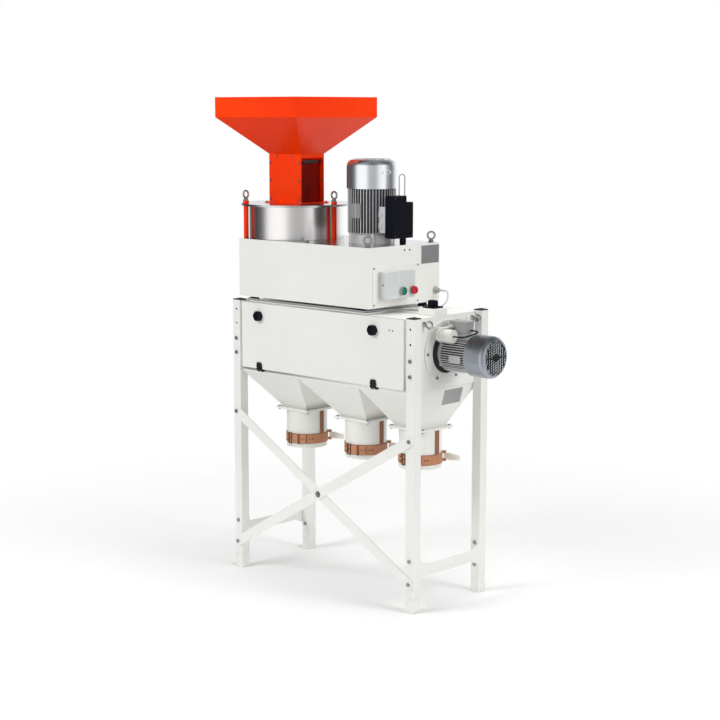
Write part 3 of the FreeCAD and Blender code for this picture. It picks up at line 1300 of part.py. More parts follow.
# Mill motor: it stands on the housing, its black terminal box looks to the right.
mill_fin = dim("mill_fin_radius")
mill_box_seat = dim("mill_box_seat")
mill_box_half = dim("mill_box_width") / 2
seat_half = mill_box_half - 10
seat_low = 44
seat_high = 144
knockouts = [cylinder("mill_knockout_%d" % number, 12, (mill_box_seat - 34, -seat_half - 2.5, height), 5, "y")
             for number, height in enumerate((seat_low + 28, seat_high - 29))]
make_motor("mill_motor", (dim("mill_motor_radius"), dim("mill_motor_length"), dim("mill_cowl_length"),
                          mill_fin, size(34), mill_shaft, mill_top - pulley_low),
           [(0, mill_box_seat, seat_half, size(seat_low), size(seat_high))], knockouts,
           (motor_x, 0, mill_top), TURNS["z"])
mill_box_x = (motor_x + mill_box_seat, motor_x + mill_box_seat + dim("mill_box_depth"))
mill_box_z = (mill_top + 25, mill_top + 25 + dim("mill_box_height"))
stub_radius = 12.5
terminal = fuse("mill_terminal_blank", [
    box("mill_terminal_case", mill_box_x, (-mill_box_half, mill_box_half), mill_box_z),
    cylinder("mill_terminal_stub", stub_radius, (mill_box_x[1] - stub_radius * 2, 22, mill_top), 26),
])
notch = 25
nodes.append(cut("mill_terminal_box", terminal, [
    box("mill_terminal_notch", (mill_box_x[0] - 1, mill_box_x[1] + 1),
        (mill_box_half - 38, mill_box_half + 1), (mill_box_z[1] - notch, mill_box_z[1] + 1))]))

# Feed chute: two wide plates, recessed side walls, a slide gate below its top edge.
chute_flange = 4
chute_low = lid_top + chute_flange
chute_top = chute_low + dim("chute_height")
chute_x = dim("chute_length") / 2
chute_y = dim("chute_depth") / 2
tube_x = chute_x - dim("chute_recess")
flange_out = 17
screw_size = 5
screw_hole = dim("screw_gap") + screw_size / 2
chute_blank = fuse("chute_blank", [
    box("chute_tube", (-tube_x, tube_x), (-chute_y, chute_y), (chute_low, chute_top)),
    box("chute_plate_front", (-chute_x, chute_x), (-chute_y, -chute_y + wall * 2), (chute_low, chute_top)),
    box("chute_plate_rear", (-chute_x, chute_x), (chute_y - wall * 2, chute_y), (chute_low, chute_top)),
    box("chute_base", (-chute_x - 10, chute_x + 10), (-chute_y - flange_out, chute_y + flange_out),
        (lid_top, chute_low)),
])
chute_inner_y = chute_y - wall * 2
gate_low = chute_top - 12
gate_thick = 3
gate_ledge = 4
chute_cuts = [
    box("chute_inside", (-tube_x + wall, tube_x - wall), (-chute_inner_y, chute_inner_y),
        (chute_low, gate_low - dim("seat_gap") - gate_ledge)),
    box("chute_ledges", (-tube_x + wall, tube_x - wall), (-chute_inner_y + 10, chute_inner_y - 10),
        (chute_low, chute_top + 1)),
    box("chute_inside_high", (-tube_x + wall, tube_x - wall), (-chute_inner_y, chute_inner_y),
        (gate_low - dim("seat_gap"), chute_top + 1)),
    box("chute_gate_slot", (tube_x - wall - 1, tube_x + 1), (-chute_inner_y, chute_inner_y),
        (gate_low - dim("seat_gap"), chute_top - 1.5)),
    cylinder("chute_mouth", stone_eye, (0, 0, lid_top - 1), chute_flange + 2),
]
chute_bolts = []
base_bolt_xs = (-chute_x - 3, -chute_x + 24, chute_x - 24, chute_x + 3)
bolt_y = chute_y + 9
for number, x in enumerate(base_bolt_xs):
    for y_sign in (-1, 1):
        tag = "%d_%s" % (number, "front" if y_sign < 0 else "rear")
        chute_cuts.append(cylinder("chute_base_hole_" + tag, screw_hole, (x, bolt_y * y_sign, lid_top - 1),
                                   chute_flange + 2))
        lid_cuts.append(cylinder("lid_bolt_hole_" + tag, screw_hole,
                                 (stone_x + x, bolt_y * y_sign, case_top - 1), dim("lid_thick") + 2))
        chute_bolts.append(screw("chute_bolt_" + tag, screw_size,
                                 (stone_x + x, bolt_y * y_sign, chute_low), size(chute_flange),
                                 "z", -1, nut=False))
edge_zs = (chute_low + 12, chute_low + 87, chute_top - 20)
for number, height in enumerate(edge_zs):
    for side, x_sign in (("left", -1), ("right", 1)):
        for end, y_sign in (("front", -1), ("rear", 1)):
            tag = "%d_%s_%s" % (number, side, end)
            x = (chute_x - 9) * x_sign
            chute_cuts.append(cylinder("chute_edge_hole_" + tag, screw_hole,
                                       (x, chute_y * y_sign - wall * 2 - 1, height), wall * 4 + 2, "y"))
            chute_bolts.append(screw("chute_edge_bolt_" + tag, screw_size,
                                     (stone_x + x, chute_y * y_sign, height), wall * 2, "y", -y_sign))

# Two tongues reach up into the hopper's neck, which is screwed to them.
hopper_thick = 3
tongue_thick = 3
neck_x = chute_x - hopper_thick
neck_y = chute_y - hopper_thick
neck_bolt_z = chute_top + dim("hopper_neck") / 2
neck_bolt_xs = (-43, 43)
tongue_y = neck_y - dim("seat_gap") - tongue_thick
tongues = []
tongue_holes = []
for end, y_sign in (("front", -1), ("rear", 1)):
    limits = (-tongue_y - tongue_thick, -tongue_y) if y_sign < 0 else (tongue_y, tongue_y + tongue_thick)
    tongues.append(box("chute_tongue_" + end, (-60, 60), limits,
                       (gate_low + gate_thick + 2, chute_top + dim("hopper_neck") - 2)))
    for number, x in enumerate(neck_bolt_xs):
        tag = "%d_%s" % (number, end)
        tongue_holes.append(cylinder("chute_tongue_hole_" + tag, screw_hole,
                                     (x, limits[0] - 1, neck_bolt_z), tongue_thick + 2, "y"))
        chute_bolts.append(screw("hopper_bolt_" + tag, screw_size,
                                 (stone_x + x, chute_y * y_sign, neck_bolt_z),
                                 dim("seat_gap") + hopper_thick + tongue_thick, "y", -y_sign))
chute_open = fuse("chute_open", [
    cut("chute_sheet", chute_blank, chute_cuts),
    cut("chute_tongues", fuse("chute_tongue_pair", tongues), tongue_holes),
])
nodes.append(place(group("feed_chute", [chute_open]), stone_x, 0, 0))
nodes.append(cut("case_lid", lid_disc, lid_cuts))
nodes.append(group("case_posts", posts))
nodes.append(group("lifting_eyes", lifting_eyes))
nodes.append(group("screws_and_nuts", bolts + flange_bolts + chute_bolts))

handle_x = tube_x + 5
gate_end = handle_x + gate_thick
gate_half = chute_inner_y - dim("seat_gap")
gate = fuse("gate_bent", [
    box("gate_plate", (-tube_x + wall + dim("seat_gap"), gate_end), (-gate_half, gate_half),
        (gate_low, gate_low + gate_thick)),
    box("gate_lip", (handle_x, gate_end), (-gate_half + 20, gate_half - 20), (gate_low - 8, gate_low + 1)),
])
nodes.append(place(group("feed_gate", [gate]), stone_x, 0, 0))

# Hopper: an open square funnel whose short upright neck stands on the chute.
neck_top = chute_top + dim("hopper_neck")
slope_top = neck_top + dim("hopper_slope")
rim_top = slope_top + dim("hopper_rim")
hopper_half = dim("hopper_side") / 2
hopper_blank = fuse("hopper_blank", [
    box("hopper_neck_outer", (-chute_x, chute_x), (-chute_y, chute_y), (chute_top, neck_top)),
    frustum("hopper_slope_outer", (-chute_x, chute_x, -chute_y, chute_y), neck_top,
            (-hopper_half, hopper_half, -hopper_half, hopper_half), slope_top),
    box("hopper_rim_outer", (-hopper_half, hopper_half), (-hopper_half, hopper_half), (slope_top, rim_top)),
])
hopper_cuts = [
    box("hopper_inlet", (-tube_x + wall, tube_x - wall), (-neck_y, neck_y), (chute_top - 1, neck_top)),
    box("hopper_neck_inner", (-neck_x, neck_x), (-neck_y, neck_y), (chute_top + hopper_thick, neck_top)),
    frustum("hopper_slope_inner", (-neck_x, neck_x, -neck_y, neck_y), neck_top,
            (-hopper_half + wall, hopper_half - wall, -hopper_half + wall, hopper_half - wall), slope_top),
    box("hopper_rim_inner", (-hopper_half + wall, hopper_half - wall),
        (-hopper_half + wall, hopper_half - wall), (slope_top, rim_top + 1)),
]
for number, x in enumerate(neck_bolt_xs):
    for end, y_low in (("front", -chute_y - 1), ("rear", neck_y - 1)):
        hopper_cuts.append(cylinder("hopper_hole_%d_%s" % (number, end), screw_hole,
                                    (x, y_low, neck_bolt_z), hopper_thick + 2, "y"))
hopper_open = cut("hopper_open", hopper_blank, hopper_cuts)
nodes.append(place(group("hopper", [hopper_open]), stone_x, 0, 0))

# Control panel on the mill housing's right face.
panel_x = mill_x[1]
plate_thick = 2
box_face = panel_x + plate_thick + dim("panel_stand")
button_radius = dim("button_radius")
bezel = dim("button_bezel")
bezel_face = box_face + 5
button_z = panel_z[0] + 26
button_ys = {"start": panel_y[0] + 86, "stop": panel_y[0] + 144}
panel_parts = [
    box("panel_plate", (panel_x, panel_x + plate_thick), (panel_y[0] - 34, panel_y[1] + 68),
        (mill_low + 4, panel_z[1] + 24)),
    box("panel_case", (panel_x + plate_thick, box_face - 8), panel_y, panel_z),
    box("panel_lid", (box_face - 8, box_face), (panel_y[0] - 1.5, panel_y[1] + 1.5),
        (panel_z[0] - 1.5, panel_z[1] + 1.5)),
]
panel_cuts = []
press = 4
sink = 12
for label, y in button_ys.items():
    panel_parts.append(cylinder("panel_bezel_" + label, bezel, (box_face, y, button_z), 5, "x"))
    panel_cuts.append(cylinder("panel_bore_" + label, button_radius + dim("run_gap"),
                               (bezel_face - sink - press, y, button_z), sink + press + 1, "x"))
nodes.append(cut("switch_box", fuse("panel_blank", panel_parts), panel_cuts))
button_out = dim("button_stand")
nodes.append(cylinder("start_button", button_radius,
                      (bezel_face - sink + 1, button_ys["start"], button_z), sink - 1 + press + 1, "x"))
mushroom = 16.5
nodes.append(fuse("stop_button", [
    cylinder("stop_stem", button_radius, (bezel_face - sink + 1, button_ys["stop"], button_z),
             sink - 1 + press + 2, "x"),
    cone("stop_head", mushroom, mushroom - 3, (bezel_face + press + 1, button_ys["stop"], button_z),
         button_out, "x"),
]))

# Cable glands: a hexagon base and a domed nut, on whose end face the cable begins.
cable_radius = dim("cable_radius")
lead_radius = dim("lead_radius")
gland_length = 22


def make_gland(name, across, at, rotation):
    whole = fuse(name + "_blank", [
        hexagon(name + "_base", across, (0, 0, 0), 8),
        cone(name + "_dome", across / 2, across / 3, (0, 0, 7), gland_length - 7)])
    return place(group(name, [whole]), *at, rotation)


panel_gland = (panel_x, 179, mill_low + 44)
motor_gland = (box_x[0] + 14, -box_half, box_z[0] + 24)
clip_x = dim("clip_edge") - inside
nodes.append(group("cable_fittings", [
    make_gland("gland_panel", 26, panel_gland, TURNS["x"]),
    make_gland("gland_motor", 20, motor_gland, FreeCAD.Rotation(FreeCAD.Vector(1, 0, 0), 90)),
    box("cable_clip", (clip_x, clip_x + 12), (-mill_y, -mill_y + 9), (top, top + 17)),
]))


def vector(values):
    return FreeCAD.Vector(*[size(value).number for value in values])


def cable(name, radius, points):
    """A cable of straight runs joined by arcs, swept along its hand-chosen route."""
    route = [vector(point) for point in points]
    edges = []
    start = route[0]
    for index in range(1, len(route) - 1):
        before = (route[index - 1] - route[index])
        after = (route[index + 1] - route[index])
        shorter = min(before.Length, after.Length)
        before.normalize()
        after.normalize()
        trim = shorter * 0.45
        bisector = (before + after).normalize()
        half_inside = before.getAngle(bisector)
        bend = trim * math.tan(half_inside)
        first = route[index] + before * trim
        last = route[index] + after * trim
        middle = route[index] + bisector * (trim / math.cos(half_inside) - bend)
        print("%s bend %d radius %.1f mm" % (name, index, bend))
        edges.append(Part.makeLine(start, first))
        edges.append(Part.Arc(first, middle, last).toShape())
        start = last
    edges.append(Part.makeLine(start, route[-1]))
    heading = (route[1] - route[0]).normalize()
    section = Part.Wire(Part.makeCircle(size(radius).number, route[0], heading))
    tube = Part.Wire(edges).makePipeShell([section], True, False)
    obj = doc.addObject("Part::Feature", name)
    obj.Shape = tube if tube.ShapeType == "Solid" else Part.Solid(tube)
    nodes.append(obj)


front_line = -mill_y + cable_radius + 0.5
lower = top + cable_radius + 0.2
upper = lower + cable_radius + lead_radius + 1
clip_face = clip_x + 12


def front_run(height, pitch):
    """Points along the gap's front, from right to left, that end squarely on the clip."""
    run = [(clip_face + pitch * step, front_line + 0.5 * (step % 2), height + 0.8 * (step % 2))
           for step in range(6, 1, -1)]
    return run + [(clip_face + pitch, front_line + 0.4, height + 0.4),
                  (clip_face, front_line + 0.4, height + 0.4)]


panel_exit = (panel_x + gland_length, panel_gland[1], panel_gland[2])
cable("control_cable", cable_radius, [
    panel_exit, (panel_exit[0] + 52, panel_exit[1], panel_exit[2]),
    (panel_x + 78, 150, top + 10), (panel_x + 14, 120, top + 5), (panel_x - 13, 40, top + 4),
    (panel_x - 9, -50, top + 5), (panel_x - 11, -152, top + 4),
    (panel_x - 11, front_line, lower)] + front_run(lower, 97))
selector_exit = (selector_x - selector_half, selector_y - 4, top + 11)
cable("selector_lead", lead_radius, [
    selector_exit, (selector_exit[0] - 62, selector_exit[1], selector_exit[2]),
    (panel_x + 4, -80, top + 11), (panel_x - 19, -152, top + 12),
    (panel_x - 20, front_line, upper)] + front_run(upper, 98))
motor_exit = (motor_gland[0], motor_gland[1] - gland_length, motor_gland[2])
cable("motor_cable", cable_radius, [
    motor_exit, (motor_exit[0], motor_exit[1] - 51, motor_exit[2]),
    (end_face, motor_exit[1] - 51, motor_exit[2])])
turn = math.radians(capacitor_angle)
can_exit = (adapter_face + box_start - 10 + capacitor_length,
            (capacitor_reach + 1) * math.sin(turn), sieve_z - (capacitor_reach + 1) * math.cos(turn))
lead_z = box_z[0] + 12
cable("capacitor_lead", lead_radius, [
    can_exit, (can_exit[0] + 50, can_exit[1], can_exit[2]), (can_exit[0] + 84, -30, lead_z),
    (can_exit[0] + 58, 4, lead_z), (box_x[1] + 1.5, 4, lead_z)])
arch_x = mill_box_x[1] - 25
arch_width = 32
arch_top = mill_box_z[1] + 80
cable("arch_cable", size(2.3), [
    (arch_x, 0, mill_box_z[1]), (arch_x, 0, arch_top), (arch_x, arch_width, arch_top),
    (arch_x, arch_width, mill_box_z[1] - notch)])

doc.recompute()
for obj in doc.Objects:
    if "Invalid" in obj.State or "Error" in obj.State:
        raise RuntimeError("%s did not build" % obj.Name)
os.makedirs("parts", exist_ok=True)
for node in nodes:
    if node.Shape.isNull() or not node.Shape.isValid():
        raise RuntimeError("%s has no valid shape" % node.Name)
    node.Label = node.Name
    node.Shape.exportStep("parts/%s.step" % node.Label)
print("%d nodes written" % len(nodes))
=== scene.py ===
import json
import math
import bpy
from mathutils import Matrix, Vector


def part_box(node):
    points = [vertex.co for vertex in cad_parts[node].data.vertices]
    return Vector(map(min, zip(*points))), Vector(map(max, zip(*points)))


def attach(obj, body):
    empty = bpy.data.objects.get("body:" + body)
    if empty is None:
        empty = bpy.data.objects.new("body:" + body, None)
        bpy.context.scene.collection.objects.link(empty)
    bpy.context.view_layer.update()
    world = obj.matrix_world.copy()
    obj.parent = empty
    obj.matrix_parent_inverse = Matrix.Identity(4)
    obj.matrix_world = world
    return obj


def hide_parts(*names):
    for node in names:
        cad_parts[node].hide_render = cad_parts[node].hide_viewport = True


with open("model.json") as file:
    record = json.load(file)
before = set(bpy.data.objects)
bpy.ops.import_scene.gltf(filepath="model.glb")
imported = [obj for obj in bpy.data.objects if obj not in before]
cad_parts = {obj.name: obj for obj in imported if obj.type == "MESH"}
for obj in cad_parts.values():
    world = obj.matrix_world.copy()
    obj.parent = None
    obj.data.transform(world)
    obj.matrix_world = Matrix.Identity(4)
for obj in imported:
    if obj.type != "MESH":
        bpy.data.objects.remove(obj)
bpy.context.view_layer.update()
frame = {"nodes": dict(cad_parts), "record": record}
nodes = frame["nodes"]
bodies = frame["record"]["behaviour"]["bodies"]
body_of = {node: body for body, members in bodies.items() for node in members}


# The stand: four square steel tubes with a crossed pair of flat bars in front and a folded
# tie at each side. All of it, like the sheet housings above, is powder coated in warm white.
class Value:
    """A shader socket on which Python's operators add the Math nodes that they stand for."""

    def __init__(self, finish, socket):
        self.finish = finish
        self.socket = socket

    def __add__(self, other):
        return self.finish.maths("ADD", self, other)

    def __mul__(self, other):
        return self.finish.maths("MULTIPLY", self, other)

    def __truediv__(self, other):
        return self.finish.maths("DIVIDE", self, other)

    def __radd__(self, other):
        return self.finish.maths("ADD", other, self)

    def __rsub__(self, other):
        return self.finish.maths("SUBTRACT", other, self)

    def __rmul__(self, other):
        return self.finish.maths("MULTIPLY", other, self)

    def above(self, low, high):
        """0 below low and 1 above high, with a soft step between them."""
        return self.finish.node("ShaderNodeMapRange", {"interpolation_type": "SMOOTHSTEP"},
                                self, low, high, 0.0, 1.0)


class Finish:
    """A surface finish: one node material that is built up by calls."""

    def __init__(self, name):
        self.material = bpy.data.materials.new(name)
        self.material.use_nodes = True
        self.tree = self.material.node_tree
        self.shader = self.tree.nodes["Principled BSDF"]
        self.place = self.node("ShaderNodeTexCoord", {}, out="Object")

    def node(self, kind, settings, *values, out=0):
        """Adds a node, applies its settings, then feeds its sockets in order."""
        made = self.tree.nodes.new(kind)
        for name, setting in settings.items():
            if name == "stops":
                ramp = made.color_ramp
                for index, (place, colour) in enumerate(setting):
                    stop = ramp.elements[index] if index < 2 else ramp.elements.new(place)
                    stop.position = place
                    stop.color = colour
            else:
                setattr(made, name, setting)
        sockets = [socket for socket in made.inputs if socket.enabled]
        for socket, value in zip(sockets, values):
            self.feed(socket, value)
        return Value(self, made.outputs[out])

    def feed(self, socket, value):
        if isinstance(value, Value):
            self.tree.links.new(value.socket, socket)
        elif value is not None:
            socket.default_value = value

    def maths(self, operation, first, second):
        return self.node("ShaderNodeMath", {"operation": operation}, first, second)

    def vector(self, operation, *values, out=0):
        return self.node("ShaderNodeVectorMath", {"operation": operation}, *values, out=out)

    def along(self, axis):
        """The position along one axis, in metres."""
        return self.node("ShaderNodeSeparateXYZ", {}, self.place, out=axis)

    def stretched(self, x, y, z, place=None):
        """A place stretched by three factors, Object coordinates if none is given."""
        return self.node("ShaderNodeMapping", {}, place or self.place, None, None, (x, y, z))

    def noise(self, scale, detail, rough=0.5, place=None):
        return self.node("ShaderNodeTexNoise", {}, place or self.place, scale, detail, rough)

    def blend(self, factor, first, second):
        """Two colours mixed by a factor."""
        return self.node("ShaderNodeMix", {"data_type": "RGBA"}, factor, first, second, out=2)

    def bump(self, height, distance, strength):
        raised = self.node("ShaderNodeBump", {}, strength, distance, None, height)
        self.feed(self.shader.inputs["Normal"], raised)

    def set(self, **inputs):
        """Feeds the shader: base_color=..., roughness=... and so on."""
        for name, value in inputs.items():
            label = name.replace("_", " ").title().replace("Ior", "IOR")
            self.feed(self.shader.inputs[label], value)
        return self.material


def rgb(red, green, blue):
    return (red, green, blue, 1.0)


def orange_peel(coat):
    """The fine skin of baked powder."""
    coat.bump(coat.noise(900.0, 2.0, 0.4), 0.00012, 0.35)


def powder_coat(name, colour, shade, gloss, specular=0.5):
    """Baked powder: a faint orange-peel skin, slow tone changes and dust low on the stand."""
    coat = Finish(name)
    dust_top = 0.22
    slow = coat.noise(2.5, 2.0)
    wiped = coat.noise(9.0, 4.0, 0.6, coat.stretched(1.0, 1.0, 0.25))
    low_down = 1.0 - coat.along(2).above(0.0, dust_top)
    dust = low_down * coat.noise(40.0, 4.0, 0.7).above(0.35, 0.75)
    tone = coat.blend(slow.above(0.35, 0.7), colour, shade)
    dusty = coat.blend(dust * 0.25, tone, rgb(0.42, 0.40, 0.36))
    orange_peel(coat)
    return coat.set(base_color=dusty, roughness=gloss + 0.08 * wiped, specular_ior_level=specular)


white_coat = powder_coat("white_powder_coat", rgb(0.82, 0.82, 0.785), rgb(0.79, 0.79, 0.755), 0.34)


def alone(piece):
    """Makes a piece the only selected and active one."""
    bpy.ops.object.select_all(action="DESELECT")
    bpy.context.view_layer.objects.active = piece
    piece.select_set(True)


def rounded(piece, width, segments, angle):
    """Breaks the edges at which the surface turns by more than an angle."""
    edges = piece.modifiers.new("edges", "BEVEL")
    edges.width = width
    edges.segments = segments
    edges.limit_method = "ANGLE"
    edges.angle_limit = math.radians(angle)
    bpy.ops.object.modifier_apply(modifier="edges")


def finished(piece, finish, body):
    """Smooth over small angles, flat faces flat up to their edges, finish on, on its body."""
    bpy.ops.object.shade_smooth_by_angle(angle=math.radians(35))
    weights = piece.modifiers.new("weights", "WEIGHTED_NORMAL")
    weights.weight = 100
    weights.keep_sharp = True
    bpy.ops.object.modifier_apply(modifier="weights")
    piece.data.materials.clear()
    piece.data.materials.append(finish)
    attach(piece, body)
    return piece


def worn_edges(node, finish, width, segments=2, angle=40):
    """Stands in for a CAD node with the same form, its sharp edges broken and its finish on."""
    piece = bpy.data.objects.new(node + "_dressed", nodes[node].data.copy())
    bpy.context.collection.objects.link(piece)
    alone(piece)
    bpy.ops.object.mode_set(mode="EDIT")
    bpy.ops.mesh.select_all(action="SELECT")
    bpy.ops.mesh.remove_doubles(threshold=0.00001)
    bpy.ops.mesh.dissolve_limited(angle_limit=math.radians(0.5))
    bpy.ops.object.mode_set(mode="OBJECT")
    rounded(piece, width, segments, angle)
    finished(piece, finish, body_of[node])
    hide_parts(node)
    return piece


def dressed(finish, *names):
    """Gives CAD nodes their finish as they are."""
    for name in names:
        for material_slot in nodes[name].material_slots:
            material_slot.material = finish


for leg in ("leg_front_left", "leg_front_right", "leg_rear_left", "leg_rear_right"):
    worn_edges(leg, white_coat, 0.0016)
for flat in ("front_braces", "side_ties"):
    worn_edges(flat, white_coat, 0.0007)


# Black moulded plugs close the legs' tops; each has a thin rim and a low pyramid.
# They are matt polyethylene with a fine grain.
def moulded(name, colour, rough, grain=700.0, specular=0.5):
    """Moulded plastic or rubber with fine pores and paler scuffs."""
    plastic = Finish(name)
    pores = plastic.noise(grain, 3.0, 0.6)
    scuffs = plastic.noise(60.0, 5.0, 0.7)
    lighter = tuple(channel * 1.35 + 0.0008 for channel in colour[:3]) + (1.0,)
    tone = plastic.blend(scuffs.above(0.5, 0.8) * 0.6, colour, lighter)
    plastic.bump(pores, 0.0001, 0.5)
    gloss = rough + 0.12 * scuffs
    return plastic.set(base_color=tone, roughness=gloss, specular_ior_level=specular)


black_plastic = moulded("black_moulding", rgb(0.0025, 0.0032, 0.0075), 0.34, 700.0, 0.14)
worn_edges("leg_plugs", black_plastic, 0.0008)


# Hexagon screws and nuts with bright zinc plate, over the whole machine.
# The plate shows a fine grain and slow dull patches.
def bright_metal(name, colour, rough, streaks=(1.0, 1.0, 1.0), fine=400.0):
    """Bare or plated metal whose grain is stretched along the way it was worked."""
    metal = Finish(name)
    grain = metal.noise(fine, 4.0, 0.6, metal.stretched(*streaks))
    patches = metal.noise(14.0, 4.0, 0.6)
    dark = tuple(channel * 0.72 for channel in colour[:3]) + (1.0,)
    tone = metal.blend(grain * 0.5 + patches * 0.3, colour, dark)
    metal.bump(grain, 0.00005, 0.4)
    gloss = rough + 0.1 * patches + 0.08 * grain
    return metal.set(base_color=tone, metallic=1.0, roughness=gloss)


zinc = bright_metal("zinc_plate", rgb(0.38, 0.39, 0.41), 0.22)
worn_edges("screws_and_nuts", zinc, 0.0004)


# The braces cross on one long bolt with a broad washer under its head.
# Like all washers here it is punched from sheet and zinc plated.
def added(kind, place, axis="z", **sizes):
    """A new primitive at its place, turned to one of the main axes, alone selected."""
    bpy.ops.object.select_all(action="DESELECT")
    quarter = math.pi / 2
    turn = {"x": (0.0, quarter, 0.0), "y": (quarter, 0.0, 0.0), "z": (0.0, 0.0, 0.0)}[axis]
    kind(location=place, rotation=turn, **sizes)
    return bpy.context.object


def settled(piece, name, finish, body, edge=0.0, segments=2):
    """Ends a new piece: place kept in its mesh, edges broken, finish on, riding on its body."""
    alone(piece)
    bpy.ops.object.transform_apply(location=True, rotation=True, scale=True)
    piece.name = name
    piece.data.name = name
    if edge:
        rounded(piece, edge, segments, 40)
    bpy.ops.object.mode_set(mode="EDIT")
    bpy.ops.mesh.select_all(action="SELECT")
    bpy.ops.mesh.normals_make_consistent(inside=False)
    bpy.ops.object.mode_set(mode="OBJECT")
    return finished(piece, finish, body)


def middle_of(node):
    """The middle of a node's box."""
    return tuple((low + high) / 2 for low, high in zip(*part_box(node)))


washer_thick = 0.0016


def washer(name, place, axis, radius):
    """A flat washer whose middle stands on the given place."""
    ring = added(bpy.ops.mesh.primitive_cylinder_add, place, axis, radius=radius,
                 depth=washer_thick, vertices=40)
    settled(ring, name, zinc, "machine", 0.0004)


brace_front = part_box("front_braces")[0][1]
cross_place = (0.0, brace_front - washer_thick / 2, middle_of("front_braces")[2])
washer("cross_washer", cross_place, "y", 0.013)


# Sifter housing and funnels: folded and welded sheet, coated like the stand.
# A thin black box on the front edge by the right leg is painted shade for an oblong slot there.
worn_edges("sifter_housing", white_coat, 0.0007)
worn_edges("funnel_tray", white_coat, 0.0006)
worn_edges("motor_ring", white_coat, 0.0015)
black_coat = powder_coat("black_coat", rgb(0.006, 0.007, 0.010), rgb(0.010, 0.011, 0.014), 0.34,
                         0.35)
# Painted shade: a black box stands where the slot's dark opening is.
slot_size = (0.0045, 0.0008, 0.056)
slot_x = (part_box("sifter_cover")[1][0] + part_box("leg_front_right")[0][0]) / 2
slot_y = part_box("sifter_housing")[0][1] - 0.0003
slot_z = 0.836
slot_shade_patch = added(bpy.ops.mesh.primitive_cube_add, (slot_x, slot_y, slot_z), size=1.0)
slot_shade_patch.scale = slot_size
settled(slot_shade_patch, "slot_shade_patch", black_coat, "machine", 0.0003)


# The bare aluminium plate on the slope of the right funnel, held by four small rivets.
# Its face is brushed along its length.
plate_metal = bright_metal("brushed_plate", rgb(0.60, 0.60, 0.61), 0.34, (1.0, 20.0, 1.0), 160.0)
plate_thick = 0.0006
plate_lift = 0.0004
rivet_inset = 0.005
rivet_radius = 0.0018


def bare_plate(name, middle, outward, upward, width, height):
    """A riveted plate on a face: its middle, the face's normal, its upward edge, its size."""
    middle = Vector(middle)
    outward = Vector(outward).normalized()
    upward = (Vector(upward) - Vector(upward).dot(outward) * outward).normalized()
    sideways = upward.cross(outward)
    plate = added(bpy.ops.mesh.primitive_cube_add, (0.0, 0.0, 0.0), size=1.0)
    turned = Matrix((sideways, upward, outward)).transposed()
    plate.matrix_world = Matrix.LocRotScale(middle + outward * plate_lift, turned,
                                            Vector((width, height, plate_thick)))
    settled(plate, name, plate_metal, "machine", 0.0002, 1)
    for number, (across, up) in enumerate(((-1, -1), (1, -1), (-1, 1), (1, 1))):
        place = (middle + sideways * across * (width / 2 - rivet_inset)
                 + upward * up * (height / 2 - rivet_inset) + outward * plate_thick)
        rivet = added(bpy.ops.mesh.primitive_uv_sphere_add, place, radius=rivet_radius,
                      segments=12, ring_count=6)
        settled(rivet, "%s_rivet_%d" % (name, number), zinc, "machine")


right_funnel = 0.40
slope_face = max((face for face in nodes["funnel_tray"].data.polygons
                  if face.normal.x > 0.3 and abs(face.normal.y) < 0.2
                  and face.center.x > right_funnel), key=lambda face: face.area)
slope_out = slope_face.normal
slope_y, slope_z = 0.066, 0.789
slope_x = slope_face.center.x - (slope_out.z * (slope_z - slope_face.center.z)
                                 + slope_out.y * (slope_y - slope_face.center.y)) / slope_out.x
bare_plate("slope_plate", (slope_x, slope_y, slope_z), slope_out, (0, 0, 1), 0.108, 0.062)


# Three spouts of rolled tube with a square flange, bolted under the funnels.
# The flour bags' necks are strapped on them.
worn_edges("spouts", white_coat, 0.0008)


# The front cover is a shallow pan that hangs on two black lower hinges and is held by two
# lobed black knobs. Two rivets stand beside its right knob.
worn_edges("sifter_cover", white_coat, 0.0012)
worn_edges("hinge_brackets", black_coat, 0.0006)
worn_edges("hinge_leaves", black_coat, 0.0010)
crown_share = 0.93
lobe_start = 0.62
lobe_height = 0.3
for knob in ("cover_knob_left", "cover_knob_right"):
    knob_x, _, knob_z = middle_of(knob)
    crown = (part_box(knob)[1][2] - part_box(knob)[0][2]) / 2 * crown_share
    for corner in worn_edges(knob, black_plastic, 0.0012, 3).data.vertices:
        far = math.hypot(corner.co.x - knob_x, corner.co.z - knob_z)
        if far > crown * lobe_start:
            eased = (crown + (far - crown) * lobe_height) / far
            corner.co.x = knob_x + (corner.co.x - knob_x) * eased
            corner.co.z = knob_z + (corner.co.z - knob_z) * eased


dull_zinc = bright_metal("dull_zinc", rgb(0.13, 0.13, 0.125), 0.34)


def domed_screw(name, place, axis, radius, body="machine"):
    """A low domed head that stands half out of the sheet that it holds."""
    head = added(bpy.ops.mesh.primitive_uv_sphere_add, place, axis, radius=radius, segments=20,
                 ring_count=10)
    head.scale = (1.0, 1.0, 0.5)
    settled(head, name, dull_zinc, body)


bead_stand = 0.002
rivet_z = 1.063
cover_front = min(corner.co.y for corner in nodes["sifter_cover"].data.vertices) + bead_stand
for number, rivet_x in enumerate((0.364, 0.381)):
    domed_screw("cover_rivet_%d" % number, (rivet_x, cover_front, rivet_z), "y", 0.0032, "cover")


# Selector switch on the sifter's right end: white case, black square plate, ribbed knob.
# The plate and the knob are moulded in black.
def painted(piece, finish, wanted):
    """Gives a second finish to the faces whose centre and normal pass a test."""
    piece.data.materials.append(finish)
    index = len(piece.data.materials) - 1
    for face in piece.data.polygons:
        if wanted(face.center, face.normal):
            face.material_index = index


selector = worn_edges("selector_box", white_coat, 0.0012)
selector_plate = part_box("selector_box")[1][2] - 0.0059
painted(selector, black_plastic, lambda place, out: place.z > selector_plate)
worn_edges("selector_knob", black_plastic, 0.0008)


